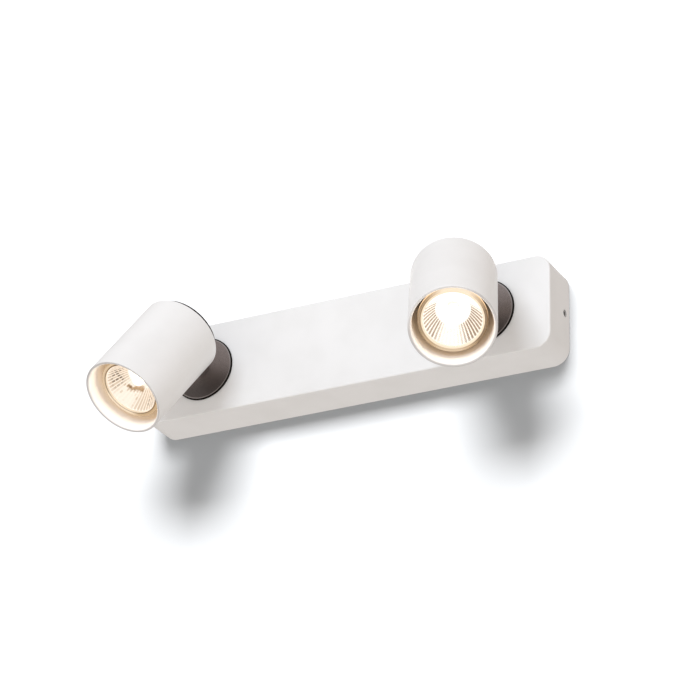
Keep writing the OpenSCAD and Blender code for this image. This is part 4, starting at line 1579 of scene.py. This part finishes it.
    def rim(self, side: Side, place: Placing) -> bpy.types.Object:
        """Stepped glass rim round the front glass: a closed profile with two rounded beads.

        The marks are painted light that goes by radius r and bearing b from the viewer: pale marks are
        painted highlights, brown marks painted shade. Seen from the front the inner bead is pale, the outer
        one is palest towards the viewer, and it is brown at both sides. Seen from the side only the inner
        bead's own edge is pale, the outer one is palest opposite the viewer, and brown lines run along the
        inner bead and the outer edge. The rim's outer side lights the tube's bore.

        Args:
            side: the head's side.
            place: the head's frame.

        Returns:
            The new piece, with the attributes `bead`, `step` and `edge`.
        """
        z1 = self.lens_z + self.lens_t
        inner, outer = self.lens_r + self.lens_gap, self.rim_r
        back = self.lens_z - self.rim_back
        inner_bead = arc((inner + self.bead_r, z1 - 0.55), self.bead_r, 180, 0, 13)
        outer_bead = arc((0.0, 0.0), 1.0, 165, 5, 17) * self.outer_bead + [outer - 1.27, z1 - 0.95]
        profile = np.concatenate([
            [[inner, self.lens_z + self.lens_gap]], inner_bead,
            [[inner + 1.13, z1 - 1.0]], outer_bead,
            [[outer, z1 - 1.2], [outer, z1 - 1.6], [outer, back]],
            arc((outer - self.rim_round, back), self.rim_round, 0, -90, 5),
            [[inner + 0.65, self.lens_z - 0.75]],
        ])
        grid = revolve(profile, self.rim_columns)
        r = profile[:, :1]
        side_face = (np.arange(len(profile)) > len(inner_bead) + len(outer_bead) + 1)[:, None]
        a = np.linspace(0.0, 2 * math.pi, self.rim_columns, endpoint=False)[None, :]
        b, side_on = self.bearing(a, place)
        fold = np.minimum(b, 360 - b)
        shine = window(b, 165, 205, 25)

        # Painted highlights on the beads, set by bearing from the viewer.
        near = 1 - smooth(r, 22.4 - side_on, 22.9 - side_on)
        far_side = 0.3 * window(b, 60, 150, 20) + 0.75 * shine
        front_on = 0.4 * window(b, 168, 195, 25) + 1.2 * (1 - smooth(fold, 10, 55))
        over = side_on * far_side * window(r, 22.4, 23.9, 0.3) + (1 - side_on) * front_on
        bead = np.clip(np.maximum(near, over), 0, 1)

        # Painted shade in brown lines and on the flanks, set by bearing from the viewer.
        line = (1 - 0.5 * shine) * window(r, 21.4, 22.2, 0.2) + 0.4 * smooth(r, 24.0, 24.4)
        flank = 0.85 * window(b, 240, 290, 25) + 0.5 * window(b, 70, 110, 30) + 0.15 * smooth(fold, 20, 60)
        step = side_on * line + (1 - side_on) * flank * smooth(r, 22.4, 22.9)
        marks = {"bead": bead, "step": np.clip(step, 0, 1), "edge": side_face.astype(float)}
        values = {label: np.broadcast_to(mark, grid.shape[:2]) for label, mark in marks.items()}
        return grid_piece(side.node("lamp_rim"), grid, place, Skin(loop=True), values)

    def front_glass(self, side: Side, place: Placing) -> bpy.types.Object:
        """Front glass: slightly domed faces, z = z0 + h (1 - (r/R)^2), and a rounded edge.

        Args:
            side: the head's side.
            place: the head's frame.

        Returns:
            The new piece.
        """
        r = np.linspace(0.0, self.lens_r - self.lens_round, 16)
        z0 = self.lens_z + 0.1
        z1 = self.lens_z + self.lens_t - self.lens_round
        low = np.stack([r, z0 + 0 * r], axis=-1)
        edge = arc((self.lens_r - 0.45, (z0 + z1) / 2), (z1 - z0) / 2, -70, 70, 9)
        edge[:, 0] = np.minimum(edge[:, 0], self.lens_r - 0.02)
        high = np.stack([r, z1 + self.dome_h * (1 - (r / self.lens_r) ** 2)], axis=-1)[::-1]
        grid = revolve(np.concatenate([low, edge, high]), self.lens_columns)
        return grid_piece(side.node("lamp_front_glass"), grid, place, Skin())

    def capsule(self, side: Side, place: Placing) -> bpy.types.Object:
        """Quartz bulb: a tube with a domed end and its melted tip, flattened at its pinch.

        Args:
            side: the head's side.
            place: the head's frame.

        Returns:
            The new piece.
        """
        z0 = self.throat_z
        top = z0 + self.capsule_l
        r = self.capsule_r
        wall = np.stack([np.full(8, r), np.linspace(z0 + self.pinch_z, top, 8)], axis=-1)
        dome = arc((0, top), r, 4, 76, 12)
        dome[:, 1] = top + (dome[:, 1] - top) * self.dome_share
        tip = np.array(self.capsule_tip) + [0.0, top]
        neck = np.array(self.capsule_neck) + [0.0, z0]
        foot = neck[:1] * [0.0, 1.0]
        profile = np.concatenate([foot, neck, wall, dome, tip])
        grid = revolve(profile, self.capsule_columns)
        share = np.clip((z0 + self.pinch_z - profile[:, 1]) / self.pinch_h, 0, 1)
        wider, flatter = self.pinch
        grid[..., 1] *= (1 - flatter * share)[:, None]
        grid[..., 0] *= (1 + wider * share)[:, None]
        return grid_piece(side.node("lamp_capsule"), grid, place, Skin())

    def filament(self, side: Side, place: Placing) -> bpy.types.Object:
        """Coiled filament across the capsule: a helix along x, x = l s, (y, z) = c (cos, sin) 2 pi n s.

        Args:
            side: the head's side.
            place: the head's frame.

        Returns:
            The new piece.
        """
        s = np.linspace(-0.5, 0.5, self.coil_turns * self.coil_steps)
        a = 2 * math.pi * self.coil_turns * s
        z = self.throat_z + self.capsule_l - self.coil_drop
        route = np.stack([self.coil_l * s, self.coil_r * np.cos(a), z + self.coil_r * np.sin(a)], axis=-1)
        grid = sweep(route, np.full(len(route), self.wire_r), self.wire_sides)
        return grid_piece(side.node("lamp_filament"), grid, place, Skin(caps=True))


@dataclass(kw_only=True)
class Head(Assembly):
    """A lamp head: tube, rear cap, tilt parts, holder and lamp.

    Args:
        leads: makes the leads.
        lamp: makes the lamp.
        holder_w: width of the lamp holder.
        holder_z: height of its foot on the head's axis.
        lead_out: x of a lead at the holder, its straight stretch out and its height on the holder.
        lead_end: where a lead ends at the knuckle.
        lead_bend: where its bend starts, before and after its corner.
    """

    leads: LeadMaker
    lamp: Lamp
    holder_w: float = 16.0
    holder_z: float = 11.1
    lead_out: Triple = (3.0, 4.0, 6.0)
    lead_end: Triple = (1.1, -14.7, 10.8)
    lead_bend: float = 2.0

    def build(self, side: Side) -> None:
        """Dresses one head's nodes and makes its lamp and leads.

        Args:
            side: the head's side.
        """
        # The tube's coat carries painted shade on its mouth's crest, which the right lamp's light fades out.
        lit = LIT_LIP if side is Side.RIGHT else None
        coat = replace(TUBE_COAT, name=f"{side.value}_tube_coat", mouth=self.joints.head(side), lit_y=lit)
        self.dress(coat, [side.node("tube")])
        self.dress(CAP_COAT, [side.node("rear_cap")])
        self.dress(SCREW_ZINC, [side.node(n) for n in ("tilt_bolt", "tilt_nut", "bridge_screws",
                                                        "holder_screws", "lamp_pins")])
        self.dress(SHEET_ZINC, [side.node("holder_bridge")])
        self.dress(NYLON, [side.node("friction_washers")])
        self.dress(CERAMIC, [side.node("lamp_holder"), side.node("lamp_base")])
        self.holder_leads(side)
        self.lamp.build(side)

    def holder_leads(self, side: Side) -> None:
        """Two short leads from the lamp holder down to the hollow knuckle.

        Args:
            side: the head's side.
        """
        x0, out, up = self.lead_out
        x1, y1, z1 = self.lead_end
        y0 = -self.holder_w / 2
        z0 = self.holder_z + up
        for s, (label, finish) in zip((-1, 1), LEAD_PAIR):
            corners = np.array([[s * x0, y0, z0], [s * x0, y0 - out, z0], [s * x1, y1, z1]])
            name = f"{side.value}_holder_{label}_lead"
            piece = self.leads.tube(name, corners, self.lead_bend, self.joints.head(side))
            node = side.node("holder_leads")
            self.add(piece, f"{side.value}_head", "lead_insulation", finish, [node] if s < 0 else [])


@dataclass(frozen=True)
class Softbox:
    """A soft rectangular light, in metres.

    Args:
        name: the light's name.
        place: where it stands.
        size: its width and height.
        power: its power in watts.
        hue: its colour.
        aim: the point that it faces.
    """

    name: str
    place: Triple
    size: tuple[float, float]
    power: float
    hue: Triple = (1.0, 1.0, 1.0)
    aim: Triple = (0.0, -0.03, 0.0)

    def build(self) -> bpy.types.Object:
        """Adds the light to the scene.

        Returns:
            The light.
        """
        data = bpy.data.lights.new(self.name, "AREA")
        data.shape = "RECTANGLE"
        data.size, data.size_y = self.size
        data.energy = self.power
        data.color = self.hue
        lamp = bpy.data.objects.new(self.name, data)
        lamp.location = self.place
        lamp.rotation_euler = (Vector(self.place) - Vector(self.aim)).to_track_quat("Z", "Y").to_euler()
        lamp.visible_camera = False
        bpy.context.scene.collection.objects.link(lamp)
        return lamp


# Where the key light and the wall's own light stand
KEY_PLACE = (0.07, -1.8, 0.65)
SOFTBOXES = (
    Softbox("key", KEY_PLACE, (0.8, 0.7), 16.5, (0.84, 0.91, 1.0)),
    Softbox("low", (0.05, -0.35, -0.9), (0.4, 0.3), 1.3, (1.0, 0.95, 0.91)),
    Softbox("right", (2.0, -0.8, 0.7), (1.0, 1.0), 6.5, (1.0, 0.95, 0.92)),
    Softbox("left", (-1.6, -1.2, 0.5), (0.8, 0.8), 3.0, (0.95, 0.97, 1.0)),
    Softbox("rear", (-0.5, 1.2, 0.9), (1.0, 0.7), 4.0),
)
WALL_WASH = Softbox("wall_wash", KEY_PLACE, (0.92, 0.86), 66.0, (1.0, 0.93, 0.88))


@dataclass
class Studio:
    """Camera, lights, floor and backdrop, in metres and degrees.

    Args:
        azimuth: the camera's turn about z; 0 looks along +y.
        elevation: its height above the horizon, negative from below.
        roll: its turn about its own line of sight.
        distance: from the camera to its target.
        target: the point at the picture's centre, in the plane of the wall.
        lens: focal length in millimetres on the sensor.
        sensor: width of the sensor in millimetres.
        clip: the nearest and the farthest distance that the camera shows.
        air: colour of the light from all round.
        air_light: its strength.
        floor_z: height of the floor.
        floor_reach: distance of the floor's sides from the middle.
        floor_tones: its two colours.
        wall_reach: distance of the wall's sides from the middle.
        wall_tones: its two colours.
        wall_gap: gap between the base's back and the wall.
    """

    azimuth: float = 28.109
    elevation: float = -25.344
    roll: float = 1.382
    distance: float = 2.20245
    target: Triple = (-0.00979, 0.0, 0.00995)
    lens: float = 148.13
    sensor: float = 36.0
    clip: tuple[float, float] = (0.05, 40.0)
    air: Triple = (1.0, 0.93, 0.88)
    air_light: float = 0.61
    floor_z: float = -1.4
    floor_reach: float = 12.0
    floor_tones: tuple[Triple, Triple] = ((0.86, 0.86, 0.855), (0.83, 0.83, 0.825))
    wall_reach: float = 0.75
    wall_tones: tuple[Triple, Triple] = ((0.46, 0.49, 0.515), (0.455, 0.485, 0.51))
    wall_gap: float = 0.0006

    def build(self) -> None:
        """Makes everything that isn't part of the object."""
        self.camera()
        self.world()
        for box in SOFTBOXES:
            box.build()
        self.floor()
        wall = self.backdrop()
        wash = WALL_WASH.build()
        lit = bpy.data.collections.new("lit_by_wall_wash")
        lit.objects.link(wall)
        wash.light_linking.receiver_collection = lit
        bpy.context.scene.view_settings.view_transform = "Standard"

    def towards(self) -> np.ndarray:
        """Direction from the object towards the camera."""
        az, el = math.radians(self.azimuth), math.radians(self.elevation)
        return np.array([math.sin(az) * math.cos(el), -math.cos(az) * math.cos(el), math.sin(el)])

    def camera(self) -> None:
        """Camera at the photograph's angle."""
        data = bpy.data.cameras.new("photo_camera")
        data.lens = self.lens
        data.sensor_width = self.sensor
        data.clip_start, data.clip_end = self.clip
        cam = bpy.data.objects.new("photo_camera", data)
        az, el, roll = (math.radians(v) for v in (self.azimuth, -self.elevation, self.roll))
        ahead = Vector((-math.sin(az) * math.cos(el), math.cos(az) * math.cos(el), math.sin(el)))
        right = Vector((math.cos(az), math.sin(az), 0.0))
        up = right.cross(ahead)
        across = right * math.cos(roll) + up * math.sin(roll)
        above = up * math.cos(roll) - right * math.sin(roll)
        turn = Matrix((across, above, -ahead)).transposed()
        place = Vector(self.target) - ahead * self.distance
        cam.matrix_world = Matrix.Translation(place) @ turn.to_4x4()
        bpy.context.scene.collection.objects.link(cam)
        bpy.context.scene.camera = cam

    def world(self) -> None:
        """Even pale light from all round."""
        world = bpy.data.worlds.new("studio_air")
        world.use_nodes = True
        air = world.node_tree.nodes["Background"]
        air.inputs["Color"].default_value = (*self.air, 1.0)
        air.inputs["Strength"].default_value = self.air_light
        bpy.context.scene.world = world

    def floor(self) -> None:
        """Wide pale floor far under the light, with a slightly mottled matt finish."""
        mesh = bpy.data.meshes.new("studio_floor")
        reach = self.floor_reach
        corners = [(-reach, -reach, self.floor_z), (reach, -reach, self.floor_z),
                   (reach, reach, self.floor_z), (-reach, reach, self.floor_z)]
        mesh.from_pydata(corners, [], [(0, 1, 2, 3)])
        floor = bpy.data.objects.new("studio_floor", mesh)
        g = Graph("floor_paper")
        g.surface(Roughness=0.9, Specular_IOR_Level=0.2)
        clouds = g.remap(g.noise(size=400, detail=3.0), "Fac", 0.0, 1.0)
        g.colour(g.blend(clouds, 0, *self.floor_tones))
        mesh.materials.append(g.material)
        bpy.context.scene.collection.objects.link(floor)

    def backdrop(self) -> bpy.types.Object:
        """The wall behind the light. It shows from its front only, so that the part's back can be seen.

        Returns:
            The wall.
        """
        mesh = bpy.data.meshes.new("studio_wall")
        half, gap = self.wall_reach, self.wall_gap
        corners = [(-half, gap, -half), (half, gap, -half), (half, gap, half), (-half, gap, half)]
        mesh.from_pydata(corners, [], [(0, 1, 2, 3)])
        wall = bpy.data.objects.new("studio_wall", mesh)
        g = Graph("wall_paint")
        g.surface(Roughness=0.9, Specular_IOR_Level=0.0)
        clouds = g.remap(g.noise(size=300, detail=2.0), "Fac", 0.0, 1.0)
        g.colour(g.blend(clouds, 0, *self.wall_tones))
        clear = g.node("ShaderNodeBsdfTransparent")
        faces = g.node("ShaderNodeNewGeometry")
        both = g.node("ShaderNodeMixShader")
        g.link(faces, "Backfacing", both, 0)
        g.link(g.shader, "BSDF", both, 1)
        g.link(clear, "BSDF", both, 2)
        g.link(both, "Shader", g.output, "Surface")
        mesh.materials.append(g.material)
        wall.visible_diffuse = False
        wall.visible_glossy = False
        wall.visible_shadow = False
        bpy.context.scene.collection.objects.link(wall)
        return wall


def main() -> None:
    """Builds the studio and each sub-assembly in order."""
    logging.basicConfig(level=logging.INFO, format="%(name)s %(message)s")
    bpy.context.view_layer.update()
    studio = Studio()
    studio.build()
    palette = Palette()
    joints = Joints()
    leads = LeadMaker(palette, joints)
    Base(palette, joints, leads=leads).build()
    for side in Side:
        Swivel(palette, joints, leads=leads).build(side)
        Head(palette, joints, leads=leads, lamp=Lamp(palette, joints, studio.towards())).build(side)


if __name__ == "__main__":
    main()
